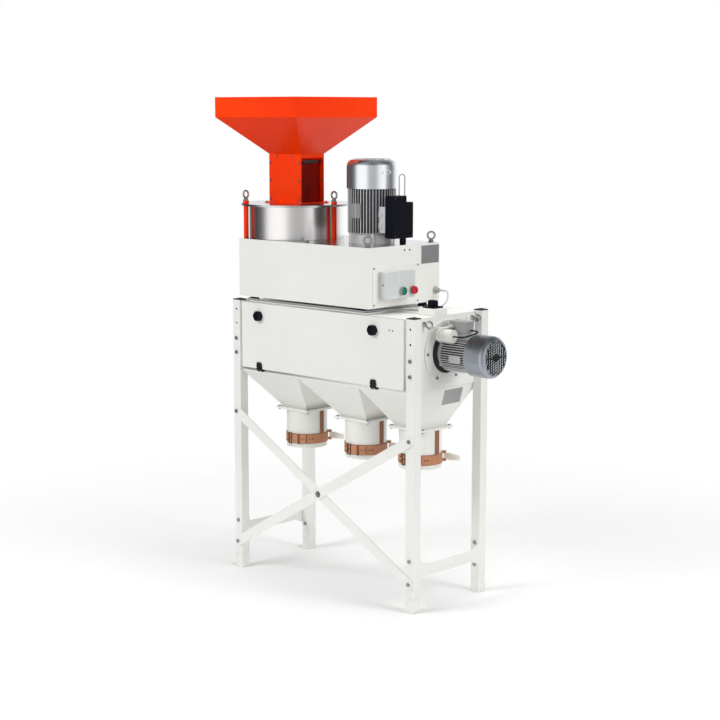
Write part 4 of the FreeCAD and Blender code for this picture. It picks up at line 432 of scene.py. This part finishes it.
# Sieve, shafts, bearings and pulleys inside the housings.
# Ground shafts, a slotted bright screen and painted grey castings.
ground = bright_metal("ground_steel", rgb(0.50, 0.50, 0.51), 0.2, (1.0, 1.0, 30.0))
dressed(ground, "sieve_reel", "mill_spindle")
bright_sheet = bright_metal("bright_sheet", rgb(0.66, 0.66, 0.67), 0.14, (1.0, 14.0, 1.0), 120.0)
dressed(bright_sheet, "sieve_screen")
grey_casting = powder_coat("grey_casting", rgb(0.10, 0.105, 0.11), rgb(0.13, 0.135, 0.14), 0.5)
dressed(grey_casting, "flange_bearings", "spindle_pulley", "motor_pulley")
rubber = moulded("black_rubber", rgb(0.006, 0.006, 0.007), 0.6, 300.0, 0.3)
dressed(rubber, "drive_belts")
worn_edges("rubber_mounts", rubber, 0.0010)


# The two millstones: dressed natural stone with crystals and fine pits.
# They are hidden in the stone case.
stone = Finish("dressed_stone")
crystals = stone.node("ShaderNodeTexVoronoi", {}, stone.place, None, 220.0)
clouds = stone.noise(18.0, 5.0, 0.65)
stone_tone = stone.blend(clouds, rgb(0.42, 0.39, 0.34), rgb(0.60, 0.57, 0.51))
stone.bump(crystals + 0.5 * clouds, 0.0008, 0.8)
millstone = stone.set(base_color=stone_tone, roughness=0.78 + 0.1 * clouds)
dressed(millstone, "fixed_stone", "runner_stone")


# Mill housing: a sheet box on four rubber mounts; its top sheet is polished stainless steel.
# One hexagon bolt with a washer stands on the top beside the motor.
mill = worn_edges("mill_housing", white_coat, 0.0010)
mill_end, _, mill_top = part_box("mill_housing")[1]
painted(mill, bright_sheet, lambda place, out: out.z > 0.9 and place.z > mill_top - 0.0004)
bolt_x, bolt_y = -0.124, -0.155
bolt_height = 0.006
washer("top_washer", (bolt_x, bolt_y, mill_top + washer_thick / 2), "z", 0.011)
bolt_place = (bolt_x, bolt_y, mill_top + washer_thick + bolt_height / 2)
top_bolt = added(bpy.ops.mesh.primitive_cylinder_add, bolt_place, radius=0.0075,
                 depth=bolt_height, vertices=6)
settled(top_bolt, "top_bolt", zinc, "machine", 0.0006)


# Control panel on the mill housing's right face: a white plate with a light grey switch box.
# Two push buttons in chromed bezels: a green flush one and a red mushroom.
def spun(place, bearing, size, centre, axis, angle, steps):
    """An upright rectangle at its place, spun round an axis; a full turn makes a ring."""
    bpy.ops.object.select_all(action="DESELECT")
    bpy.ops.mesh.primitive_plane_add(size=1.0, rotation=(math.pi / 2, 0.0, bearing),
                                     location=place)
    made = bpy.context.object
    made.scale = (size[0], size[1], 1.0)
    bpy.ops.object.transform_apply(location=True, rotation=True, scale=True)
    bpy.ops.object.mode_set(mode="EDIT")
    bpy.ops.mesh.select_all(action="SELECT")
    if angle == math.tau:
        bpy.ops.mesh.delete(type="ONLY_FACE")
        bpy.ops.mesh.select_all(action="SELECT")
    bpy.ops.mesh.spin(steps=steps, angle=angle, center=centre, axis=axis)
    if angle == math.tau:
        bpy.ops.mesh.select_all(action="SELECT")
        bpy.ops.mesh.remove_doubles(threshold=0.00002)
    bpy.ops.object.mode_set(mode="OBJECT")
    return made


panel_grey = moulded("light_grey_moulding", rgb(0.60, 0.63, 0.62), 0.34, 500.0)
chrome = bright_metal("chromed_bezel", rgb(0.50, 0.51, 0.53), 0.08)
panel_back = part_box("switch_box")[0][0]
panel_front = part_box("switch_box")[1][0]
panel_thick = 0.0024
bezel_stand = 0.0048
switch_box = worn_edges("switch_box", white_coat, 0.0016, 3)
painted(switch_box, panel_grey, lambda place, out: place.x > panel_back + panel_thick)
painted(switch_box, chrome, lambda place, out: place.x > panel_front - bezel_stand)
green = moulded("green_button", rgb(0.008, 0.22, 0.12), 0.22)
red = moulded("red_button", rgb(0.50, 0.012, 0.035), 0.22)
worn_edges("start_button", green, 0.0026, 4)
stop_button = worn_edges("stop_button", red, 0.0008, 3)
stop_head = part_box("stop_button")[1][0] - 0.0095
painted(stop_button, chrome, lambda place, out: place.x < stop_head)
_, start_y, start_z = middle_of("start_button")
collar_radius = 0.01445
collar = spun((panel_front + 0.0036, start_y, start_z + collar_radius), 0.0, (0.0076, 0.0019),
              (0.0, start_y, start_z), (1.0, 0.0, 0.0), math.tau, 56)
settled(collar, "start_collar", chrome, "machine", 0.0005)
_, stop_y, stop_z = middle_of("stop_button")
bead = added(bpy.ops.mesh.primitive_torus_add, (panel_front - 0.0004, stop_y, stop_z), "x",
             major_radius=0.0145, minor_radius=0.0011, major_segments=48, minor_segments=12)
settled(bead, "stop_bead", chrome, "machine")
panel_corners = [(y, z) for z in (1.281, 1.142) for y in (-0.175, 0.0745)]
for number, (y, z) in enumerate(panel_corners):
    domed_screw("panel_screw_%d" % number, (panel_back + 0.002, y, z), "x", 0.0036)
domed_screw("panel_side_screw", (0.272, -0.1485, 1.219), "y", 0.0032)
bare_plate("panel_side_plate", (mill_end, 0.148, 1.3165), (1, 0, 0), (0, 0, 1), 0.104, 0.070)
for number, (y, z) in enumerate(((-0.001, 1.341), (0.028, 1.340))):
    domed_screw("strain_screw_%d" % number, (mill_end, y, z), "x", 0.0042)


# Stone case: a rolled drum of brushed stainless steel under a thick bright lid.
# The grinding marks run round it.
drum = Finish("brushed_drum")
stone_x = middle_of("stone_case")[0]
round_it = drum.vector("SUBTRACT", drum.place, (stone_x, 0.0, 0.0))
brushed_lines = drum.noise(60.0, 5.0, 0.7, drum.stretched(0.15, 0.15, 26.0, round_it))
drum_tone = drum.blend(brushed_lines, rgb(0.70, 0.685, 0.675), rgb(0.88, 0.87, 0.86))
drum.bump(brushed_lines, 0.00006, 0.5)
brushed = drum.set(base_color=drum_tone, metallic=1.0, roughness=0.18 + 0.12 * brushed_lines)
worn_edges("stone_case", brushed, 0.0010)
worn_edges("case_lid", bright_sheet, 0.0016, 3)


# Three orange posts with eye nuts clamp the stone case on the mill housing.
# The eyes are forged and zinc plated; like ones lift the housing and the sifter's end.
orange_coat = powder_coat("orange_powder_coat", rgb(0.97, 0.048, 0.001), rgb(0.91, 0.040, 0.001),
                          0.24, 0.18)
worn_edges("case_posts", orange_coat, 0.0012)
forged_eye = bright_metal("forged_eye", rgb(0.66, 0.67, 0.68), 0.14)
worn_edges("lifting_eyes", forged_eye, 0.0014, 3, 20)


# Feed chute and hopper: bent sheet with screwed edges, powder coated in bright orange.
# A slide gate of steel sheet runs below the chute's top edge; its very dark colour is painted shade
# of the slot it runs in.
chute = worn_edges("feed_chute", orange_coat, 0.0008)
# The sunk sheet between the chute's flanges gets a dark red, mottled coat: painted shade in the
# recess.
recess_shade = Finish("shaded_orange_coat")
shade_mottle = recess_shade.noise(26.0, 5.0, 0.65, recess_shade.stretched(1.0, 2.5, 0.3))
recess_shade_tone = recess_shade.blend(shade_mottle, rgb(0.085, 0.0012, 0.0008), rgb(0.33, 0.008, 0.001))
orange_peel(recess_shade)
recess_shade_coat = recess_shade.set(base_color=recess_shade_tone, roughness=0.30 + 0.1 * shade_mottle, specular_ior_level=0.08)
# Painted shade: the gate's steel is near black, like the slot it runs in.
shaded_gate_steel = bright_metal("shaded_gate_steel", rgb(0.12, 0.11, 0.11), 0.34)
dressed(shaded_gate_steel, "feed_gate")
recess_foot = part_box("feed_chute")[0][2] + 0.006
recess_half = 0.060
flange_reach = 0.080


def in_recess(place, out):
    """The sunk sheet at the chute's two sides, between its flanges."""
    return (abs(out.x) > 0.9 and place.z > recess_foot and abs(place.y) < recess_half
            and abs(place.x - stone_x) < flange_reach)


# Painted shade on the sunk sheet of both sides.
painted(chute, recess_shade_coat, in_recess)
worn_edges("hopper", orange_coat, 0.0008)


# The electric motors' frames: ribbed die-cast aluminium, grainy and a little stained, with
# painted shade between the ribs.
def cast_metal(name, axis, middle, root, tip, first):
    """Die-cast metal: light at the ribs' tips, with painted shade at their roots from first on."""
    cast = Finish(name)
    grit = cast.noise(420.0, 4.0, 0.7)
    stains = cast.noise(22.0, 4.0, 0.6)
    drawn = [0.1 if index == axis else 1.0 for index in range(3)]
    streaks = cast.noise(90.0, 3.0, 0.6, cast.stretched(*drawn))
    sideways = [0.0 if index == axis else 1.0 for index in range(3)]
    across = cast.vector("MULTIPLY", cast.vector("SUBTRACT", cast.place, middle), sideways)
    far = cast.vector("LENGTH", across, out="Value")
    tone = cast.blend(stains * 0.6 + streaks * 0.4, rgb(0.60, 0.61, 0.62), rgb(0.90, 0.91, 0.92))
    ribbed = cast.along(axis).above(first, first + 0.003)
    shaded = cast.blend((1.0 - far.above(root, tip)) * ribbed, tone, rgb(0.070, 0.073, 0.082))
    cast.bump(grit, 0.0002, 0.6)
    return cast.set(base_color=shaded, metallic=0.55, roughness=0.42 + 0.15 * grit)


sifter_cowl_low, sifter_cowl_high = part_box("sifter_motor_cowl")
sifter_z = middle_of("sifter_motor_cowl")[2]
sifter_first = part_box("sifter_motor_frame")[0][0] + 0.016
sifter_cast = cast_metal("cast_sifter_motor", 0, (0.0, 0.0, sifter_z), 0.0645, 0.0695,
                         sifter_first)
worn_edges("sifter_motor_frame", sifter_cast, 0.0006)
mill_cowl_low, mill_cowl_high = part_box("mill_motor_cowl")
mill_x = middle_of("mill_motor_cowl")[0]
mill_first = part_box("mill_motor_frame")[0][2] + 0.040
mill_cast = cast_metal("cast_mill_motor", 2, (mill_x, 0.0, 0.0), 0.0875, 0.0925, mill_first)
worn_edges("mill_motor_frame", mill_cast, 0.0006)


# Thin ribs between each frame's thick ones, cast with them from one mould.
# A bare plate is riveted to each frame in front.
def bar(place, size, outer=1.0):
    """A small bar with its edges broken; its outer side may be narrower."""
    made = added(bpy.ops.mesh.primitive_cube_add, place, size=1.0)
    made.scale = size
    bpy.ops.object.transform_apply(location=True, rotation=True, scale=True)
    for corner in made.data.vertices:
        if corner.co.x > place[0]:
            corner.co.y *= outer
    bpy.ops.object.mode_set(mode="EDIT")
    bpy.ops.mesh.select_all(action="SELECT")
    bpy.ops.mesh.bevel(offset=0.0004, segments=1, affect="EDGES")
    bpy.ops.object.mode_set(mode="OBJECT")
    return made


def repeated(piece, placings):
    """Copies of a piece at every placing, joined to one, in the piece's stead."""
    copies = []
    for placing in placings:
        copy = piece.copy()
        copy.data = piece.data.copy()
        bpy.context.collection.objects.link(copy)
        copy.matrix_world = placing
        copies.append(copy)
    bpy.data.objects.remove(piece)
    bpy.ops.object.select_all(action="DESELECT")
    for copy in copies:
        copy.select_set(True)
    bpy.context.view_layer.objects.active = copies[0]
    bpy.ops.object.join()
    return bpy.context.object


rib_thick = 0.0030
rib_gap = 0.001


def fine_ribs(name, finish, axis, core, tip, first, last):
    """24 ribs that stand out from a core to their tips, along the motor's axis."""
    rib = bar(((core + tip) / 2, 0.0, (first + last) / 2), (tip - core, rib_thick, last - first),
              0.6)
    placings = [axis @ Matrix.Rotation(math.radians(7.5 + 15 * number), 4, "Z")
                for number in range(24)]
    settled(repeated(rib, placings), name, finish, "machine")


sifter_axis = (Matrix.Translation((0.0, 0.0, sifter_z))
               @ Matrix.Rotation(math.radians(90), 4, "Y"))
mill_axis = Matrix.Translation((mill_x, 0.0, 0.0))
fine_ribs("sifter_motor_ribs", sifter_cast, sifter_axis, 0.0620, 0.0704, sifter_first,
          sifter_cowl_low[0] - rib_gap)
fine_ribs("mill_motor_ribs", mill_cast, mill_axis, 0.0850, 0.0932, mill_first,
          mill_cowl_low[2] - rib_gap)
bare_plate("mill_motor_plate", (mill_x, -0.0925, 1.487), (0, -1, 0), (0, 0, 1), 0.052, 0.056)
bare_plate("sifter_motor_plate", (0.560, -0.0727, 0.958), (0, -1, 0), (0, 0, 1), 0.056, 0.030)


# Fan cowls: deep-drawn steel with a slotted end, in silver paint with a satin gloss.
# Behind the slots turns a black plastic fan.
def silver_paint(name, light, dark, gloss):
    """Metallic paint with fine flakes, rubbed a little."""
    silver = Finish(name)
    flakes = silver.noise(1600.0, 2.0, 0.5)
    rubbed = silver.noise(16.0, 4.0, 0.6)
    tone = silver.blend(flakes * 0.6 + rubbed * 0.4, light, dark)
    satin = gloss + 0.07 * flakes + 0.02 * rubbed
    return silver.set(base_color=tone, metallic=0.95, roughness=satin)


blue_silver = silver_paint("blue_silver_paint", rgb(0.40, 0.43, 0.47), rgb(0.31, 0.335, 0.37), 0.30)
pale_silver = silver_paint("silver_paint", rgb(0.84, 0.86, 0.89), rgb(0.66, 0.68, 0.72), 0.13)
sifter_cowl = worn_edges("sifter_motor_cowl", blue_silver, 0.0010, 2, 50)
mill_cowl = worn_edges("mill_motor_cowl", pale_silver, 0.0010, 2, 50)
sifter_end = sifter_cowl_high[0]
cowl_top = mill_cowl_high[2]
end_skin = 0.0008
# Both cowls' end discs are painted black: painted shade of the slots, which the light bars then
# cross.
painted(sifter_cowl, black_coat,
        lambda place, out: out.x > 0.9 and place.x > sifter_end - end_skin)
painted(mill_cowl, black_coat,
        lambda place, out: out.z > 0.9 and place.z > cowl_top - end_skin)
bars_paint = powder_coat("grille_paint", rgb(0.66, 0.68, 0.70), rgb(0.50, 0.52, 0.55), 0.3)
bar_pitch = 0.0095
bar_depth = 0.0011


def grille(name, axis, radius, end):
    """Slanted bars that are pressed across the slots in a cowl's end, row by row."""
    rows = 9
    row_pitch = radius * 1.5 / rows
    hub, rim = radius * 0.22, radius * 0.74
    placings = []
    for row in range(rows):
        step = row - (rows - 1) / 2
        across = row_pitch * step
        count = int(radius * math.sqrt(0.56 - (1.4 * step / rows) ** 2) / bar_pitch)
        for number in range(-count, count + 1):
            along = (number + 0.5 * (row % 2)) * bar_pitch
            if hub < math.hypot(along, across) < rim:
                placings.append(axis @ Matrix.Translation((along, across, end - bar_depth))
                                @ Matrix.Rotation(math.radians(48), 4, "Z"))
    slanted = bar((0.0, 0.0, 0.0), (0.0036, row_pitch * 0.84, 0.0013))
    settled(repeated(slanted, placings), name, bars_paint, "machine")


sifter_cowl_radius = (sifter_cowl_high[1] - sifter_cowl_low[1]) / 2
mill_cowl_radius = (mill_cowl_high[0] - mill_cowl_low[0]) / 2
grille("sifter_motor_grille", sifter_axis, sifter_cowl_radius, sifter_end)
grille("mill_motor_grille", mill_axis, mill_cowl_radius, cowl_top)
sifter_shaft, sifter_fan_start = 0.012, 0.60
mill_shaft, mill_fan_start = 0.016, 1.57


def sifter_fan(place, out):
    """The fan's part of the sifter motor's shaft."""
    return (math.hypot(place.y, place.z - sifter_z) > sifter_shaft
            and place.x > sifter_fan_start)


def mill_fan(place, out):
    """The fan's part of the mill motor's shaft."""
    return math.hypot(place.x - mill_x, place.y) > mill_shaft and place.z > mill_fan_start


painted(worn_edges("sifter_motor_shaft", ground, 0.0004), black_plastic, sifter_fan)
painted(worn_edges("mill_motor_shaft", ground, 0.0004), black_plastic, mill_fan)
worn_edges("motor_adapter", black_coat, 0.0012)


# A small oval of white film on the mill motor's cowl, left blank, bent to the cowl.
# It stands 0.4 mm proud.
film_size = (0.044, 0.0008, 0.017)
film_z = 1.634
film_bearing = math.radians(-12.0)
oval = added(bpy.ops.mesh.primitive_cylinder_add, (0.0, 0.0, 0.0), "y", radius=0.5, depth=1.0,
             vertices=40)
bpy.ops.object.transform_apply(location=True, rotation=True, scale=True)
bpy.ops.object.mode_set(mode="EDIT")
bpy.ops.mesh.select_all(action="SELECT")
bpy.ops.transform.resize(value=film_size)
bpy.ops.object.mode_set(mode="OBJECT")
for corner in oval.data.vertices:
    turn = film_bearing + corner.co.x / mill_cowl_radius
    far = mill_cowl_radius - corner.co.y
    corner.co = (mill_x + far * math.cos(turn), far * math.sin(turn), film_z + corner.co.z)
film = moulded("white_film", rgb(0.74, 0.74, 0.73), 0.3)
settled(oval, "cowl_oval", film, "machine")


# Terminal boxes, glands and the capacitor on the motors.
# Black moulding with a lid on the mill motor, grey on the sifter's, cream capacitor.
worn_edges("mill_terminal_box", black_plastic, 0.0032, 3)
terminal_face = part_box("mill_terminal_box")[1][0]
terminal_corners = ((-0.0485, 1.5385), (-0.0485, 1.3945), (0.047, 1.3945))
for number, (y, z) in enumerate(terminal_corners):
    domed_screw("terminal_screw_%d" % number, (terminal_face, y, z), "x", 0.0028)
grey_plastic = moulded("grey_moulding", rgb(0.30, 0.305, 0.305), 0.4)
worn_edges("sifter_terminal_box", grey_plastic, 0.0018, 3)
pale_plastic = moulded("pale_moulding", rgb(0.70, 0.71, 0.66), 0.3)
worn_edges("sifter_capacitor", pale_plastic, 0.0034, 4)
gland_plastic = moulded("gland_moulding", rgb(0.40, 0.395, 0.36), 0.36)
worn_edges("cable_fittings", gland_plastic, 0.0010, 3)


# Cables: smooth PVC sheaths, pale grey on the control side and black on the leads.
# They are fixed between the housings all the way.
grey_sheath = moulded("grey_sheath", rgb(0.66, 0.66, 0.65), 0.38, 900.0)
black_sheath = moulded("black_sheath", rgb(0.008, 0.008, 0.010), 0.34, 900.0, 0.35)
arch_sheath = moulded("arch_sheath", rgb(0.34, 0.34, 0.35), 0.34, 900.0)
dressed(grey_sheath, "control_cable", "motor_cable")
dressed(arch_sheath, "arch_cable", "selector_lead")
dressed(black_sheath, "capacitor_lead")


# Leather straps hold the flour bags' necks on the spouts. The leather is thick, vegetable
# tanned and burnished dark along its edges; the end laps over and is held by a buckle.
strap_height = 0.040
strap_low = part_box("bag_straps")[0][2]
strap_high = strap_low + strap_height
strap_middle = strap_low + strap_height / 2
strap_face = 0.0858
burnish = 0.004


def cowhide(name, light, dark):
    """Thick leather with pores and creases, dark along the strap's edges."""
    leather = Finish(name)
    pores = leather.node("ShaderNodeTexVoronoi", {}, leather.place, None, 900.0)
    creases = leather.noise(45.0, 6.0, 0.7, leather.stretched(1.0, 1.0, 2.5))
    stained = leather.noise(12.0, 3.0, 0.6)
    height = leather.along(2)
    lower_edge = 1.0 - height.above(strap_low, strap_low + burnish)
    upper_edge = height.above(strap_high - burnish, strap_high)
    tone = leather.blend(creases * 0.6 + stained * 0.4, light, dark)
    burnished = leather.blend((lower_edge + upper_edge) * 0.55, tone, rgb(0.10, 0.040, 0.018))
    leather.bump(pores + creases * 1.5, 0.0004, 0.6)
    return leather.set(base_color=burnished, roughness=0.44 + 0.2 * creases)


tan = cowhide("tan_leather", rgb(0.56, 0.255, 0.135), rgb(0.40, 0.165, 0.082))
keeper_leather = cowhide("keeper_leather", rgb(0.20, 0.085, 0.045), rgb(0.12, 0.048, 0.026))
lap_leather = cowhide("lap_leather", rgb(0.60, 0.275, 0.145), rgb(0.43, 0.180, 0.090))
worn_edges("bag_straps", tan, 0.0008)
buckle_steel = bright_metal("buckle_steel", rgb(0.10, 0.085, 0.075), 0.3)
# Near-black discs on the laps are painted shade where the punched holes are.
hole_shade = moulded("hole_shade_disc", rgb(0.010, 0.006, 0.005), 0.7)


# Each strap's end laps over its start, in front, under a keeper and a steel buckle.
# The lap's punched holes are dark discs of painted shade; studs hold the buckle and the strap's
# start.
def wrapped(outlet, lift, thick, height, start, end, steps, up=0.0):
    """A strip round a spout, lifted off the strap's face, from one bearing to another."""
    bearing = math.radians(end)
    far = strap_face + lift
    place = (outlet + far * math.cos(bearing), far * math.sin(bearing), strap_middle + up)
    return spun(place, bearing, (thick, height), (outlet, 0.0, 0.0), (0.0, 0.0, 1.0),
                math.radians(end - start), steps)


def on_strap(outlet, degrees, up=0.0):
    """A place on the strap's face, or on the lap as far as that reaches."""
    turn = math.radians(degrees)
    far = strap_face + (lap_thick if degrees < lap_end else 0.0)
    return (outlet + far * math.cos(turn), far * math.sin(turn), strap_middle + up)


lap_thick = 0.0024
lap_end = -47.0
strips = (("lap", 0.0012, lap_thick, 0.0385, -112.0, lap_end, 18, lap_leather, 0.0007),
          ("keeper", 0.0036, 0.0016, 0.0425, -71.0, -65.5, 3, keeper_leather, 0.0005),
          ("tip", 0.0014, 0.0026, 0.0300, -48.6, -46.8, 2, keeper_leather, 0.0005))
buckle_half = 0.0225
buckle_inner = 0.0195
prong_half = 0.0013
buckle_bars = ((-101.5, -99.0, -buckle_half, buckle_half),
               (-91.0, -89.5, -buckle_half, buckle_half),
               (-99.0, -91.0, buckle_inner, buckle_half),
               (-99.0, -91.0, -buckle_half, -buckle_inner),
               (-100.0, -88.5, -prong_half, prong_half))
holes = (-60.0, -53.5, -38.0)
studs = ((-107.0, 0.009), (-107.0, -0.009), (-30.0, 0.0))
for side, outlet in (("left", -0.282), ("middle", 0.047), ("right", 0.333)):
    for part, lift, thick, height, start, end, steps, leather, edge in strips:
        strip = wrapped(outlet, lift, thick, height, start, end, steps)
        settled(strip, "strap_%s_%s" % (part, side), leather, "machine", edge)
    for number, (start, end, low, high) in enumerate(buckle_bars):
        side_bar = wrapped(outlet, 0.0040, 0.0026, high - low, start, end, 4, (low + high) / 2)
        settled(side_bar, "strap_buckle_%s_%d" % (side, number), buckle_steel, "machine",
                0.0005)
    # Painted shade: a near-black disc where each punched hole is.
    for number, degrees in enumerate(holes):
        hole = added(bpy.ops.mesh.primitive_cylinder_add, on_strap(outlet, degrees), "x",
                     radius=0.0024, depth=0.0006, vertices=20)
        hole.rotation_euler = (0.0, math.pi / 2, math.radians(degrees))
        settled(hole, "strap_hole_%s_%d" % (side, number), hole_shade, "machine")
    for number, (degrees, up) in enumerate(studs):
        stud = added(bpy.ops.mesh.primitive_uv_sphere_add, on_strap(outlet, degrees, up),
                     radius=0.0030, segments=16, ring_count=8)
        settled(stud, "strap_stud_%s_%d" % (side, number), buckle_steel, "machine")


# Each strap is tightened by a flat cream lever on a pin.
# The levers are pressed steel with a smooth coat.
cream = powder_coat("cream_coat", rgb(0.88, 0.89, 0.81), rgb(0.84, 0.85, 0.77), 0.4)
for lever in ("strap_lever_left", "strap_lever_middle", "strap_lever_right"):
    worn_edges(lever, cream, 0.0010, 3)


# Studio: a white floor that fades out, a white surround, four soft lamps.
# The camera stands where the photographer stood, with an 82 mm lens.
bpy.ops.object.select_all(action="DESELECT")
bpy.ops.mesh.primitive_circle_add(vertices=96, radius=5.0, fill_type="NGON",
                                  location=(0.0, 0.0, -0.0005))
floor = bpy.context.object
floor.name = "studio_floor"
paper = Finish("studio_paper")
reach = paper.vector("LENGTH", paper.place, out="Value")
mottle = paper.noise(30.0, 3.0)
paper.set(base_color=paper.blend(mottle, rgb(0.93, 0.93, 0.93), rgb(0.95, 0.95, 0.95)),
          roughness=0.9)
white_paper = Value(paper, paper.shader.outputs[0])
clear = paper.node("ShaderNodeBsdfTransparent", {})
fading = paper.node("ShaderNodeMixShader", {}, reach.above(0.7, 2.6), white_paper, clear)
paper.feed(paper.tree.nodes["Material Output"].inputs[0], fading)
floor.data.materials.append(paper.material)


class Surround(Finish):
    """The room round the object: what its light and its reflections come from."""

    def __init__(self, world):
        world.use_nodes = True
        self.tree = world.node_tree
        self.place = self.node("ShaderNodeTexCoord", {}, out="Generated")

    def ray(self, kind):
        """1 for rays of one kind and 0 for all others."""
        return self.node("ShaderNodeLightPath", {}, out="Is %s Ray" % kind)


world = bpy.data.worlds.new("studio")
bpy.context.scene.world = world
room = Surround(world)
bearing = room.maths("ARCTAN2", room.along(1), room.along(0)) / (2.0 * math.pi) + 0.5
walls = ((-180, 0.05), (180, 0.12), (-152, 0.06), (-134, 0.16), (-116, 0.92), (-100, 1.0),
         (-76, 1.0), (-60, 0.50), (-50, 0.44), (-30, 0.44), (-12, 0.85), (12, 1.0), (30, 0.30),
         (52, 0.12), (72, 0.55), (90, 0.95), (135, 0.90), (150, 0.60), (163, 0.10))
stops = [((angle + 180) / 360, rgb(light, light, light)) for angle, light in walls]
panels = room.node("ShaderNodeValToRGB", {"stops": stops}, bearing)
ceiling = 1.0 - room.along(2).above(0.20, 0.70) * 0.78
mirrored = room.ray("Glossy")
level = mirrored * (panels * 1.25 * ceiling) + (1.0 - mirrored) * 0.47
plain = room.maths("MAXIMUM", room.ray("Camera"), room.ray("Transmission"))
background = room.tree.nodes["Background"]
room.feed(background.inputs["Color"], rgb(1.0, 1.0, 1.0))
room.feed(background.inputs["Strength"], level * (1.0 - plain) + plain)


def soft_lamp(name, place, target, size, power):
    """A broad lamp that lights the object but shows in none of its reflections."""
    bpy.ops.object.light_add(type="AREA", location=place)
    lamp = bpy.context.object
    lamp.name = name
    lamp.data.shape = "RECTANGLE"
    lamp.data.size, lamp.data.size_y = size
    lamp.data.energy = power
    aim = Vector(target) - Vector(place)
    lamp.rotation_euler = aim.to_track_quat("-Z", "Y").to_euler()
    lamp.visible_glossy = False


soft_lamp("key_lamp", (-1.6, -4.2, 3.6), (0.0, 0.0, 1.0), (2.2, 2.2), 124.0)
soft_lamp("side_lamp", (4.4, 0.6, 2.4), (0.0, 0.0, 1.0), (1.4, 2.6), 76.0)
soft_lamp("top_lamp", (0.4, 0.4, 4.6), (0.0, 0.0, 1.0), (3.0, 3.0), 88.0)
soft_lamp("low_lamp", (2.2, -3.4, 0.25), (0.1, 0.0, 1.35), (3.0, 0.7), 15.0)

camera_place = Vector((4.4018, -4.6961, 1.8708))
camera_aim = Vector((-0.674856, 0.722421, -0.150589))
bpy.ops.object.camera_add(location=camera_place)
camera = bpy.context.object
camera.rotation_euler = camera_aim.to_track_quat("-Z", "Y").to_euler()
camera.data.sensor_width = 36.0
camera.data.lens = 82.2
bpy.context.scene.camera = camera
bpy.context.scene.view_settings.view_transform = "Standard"
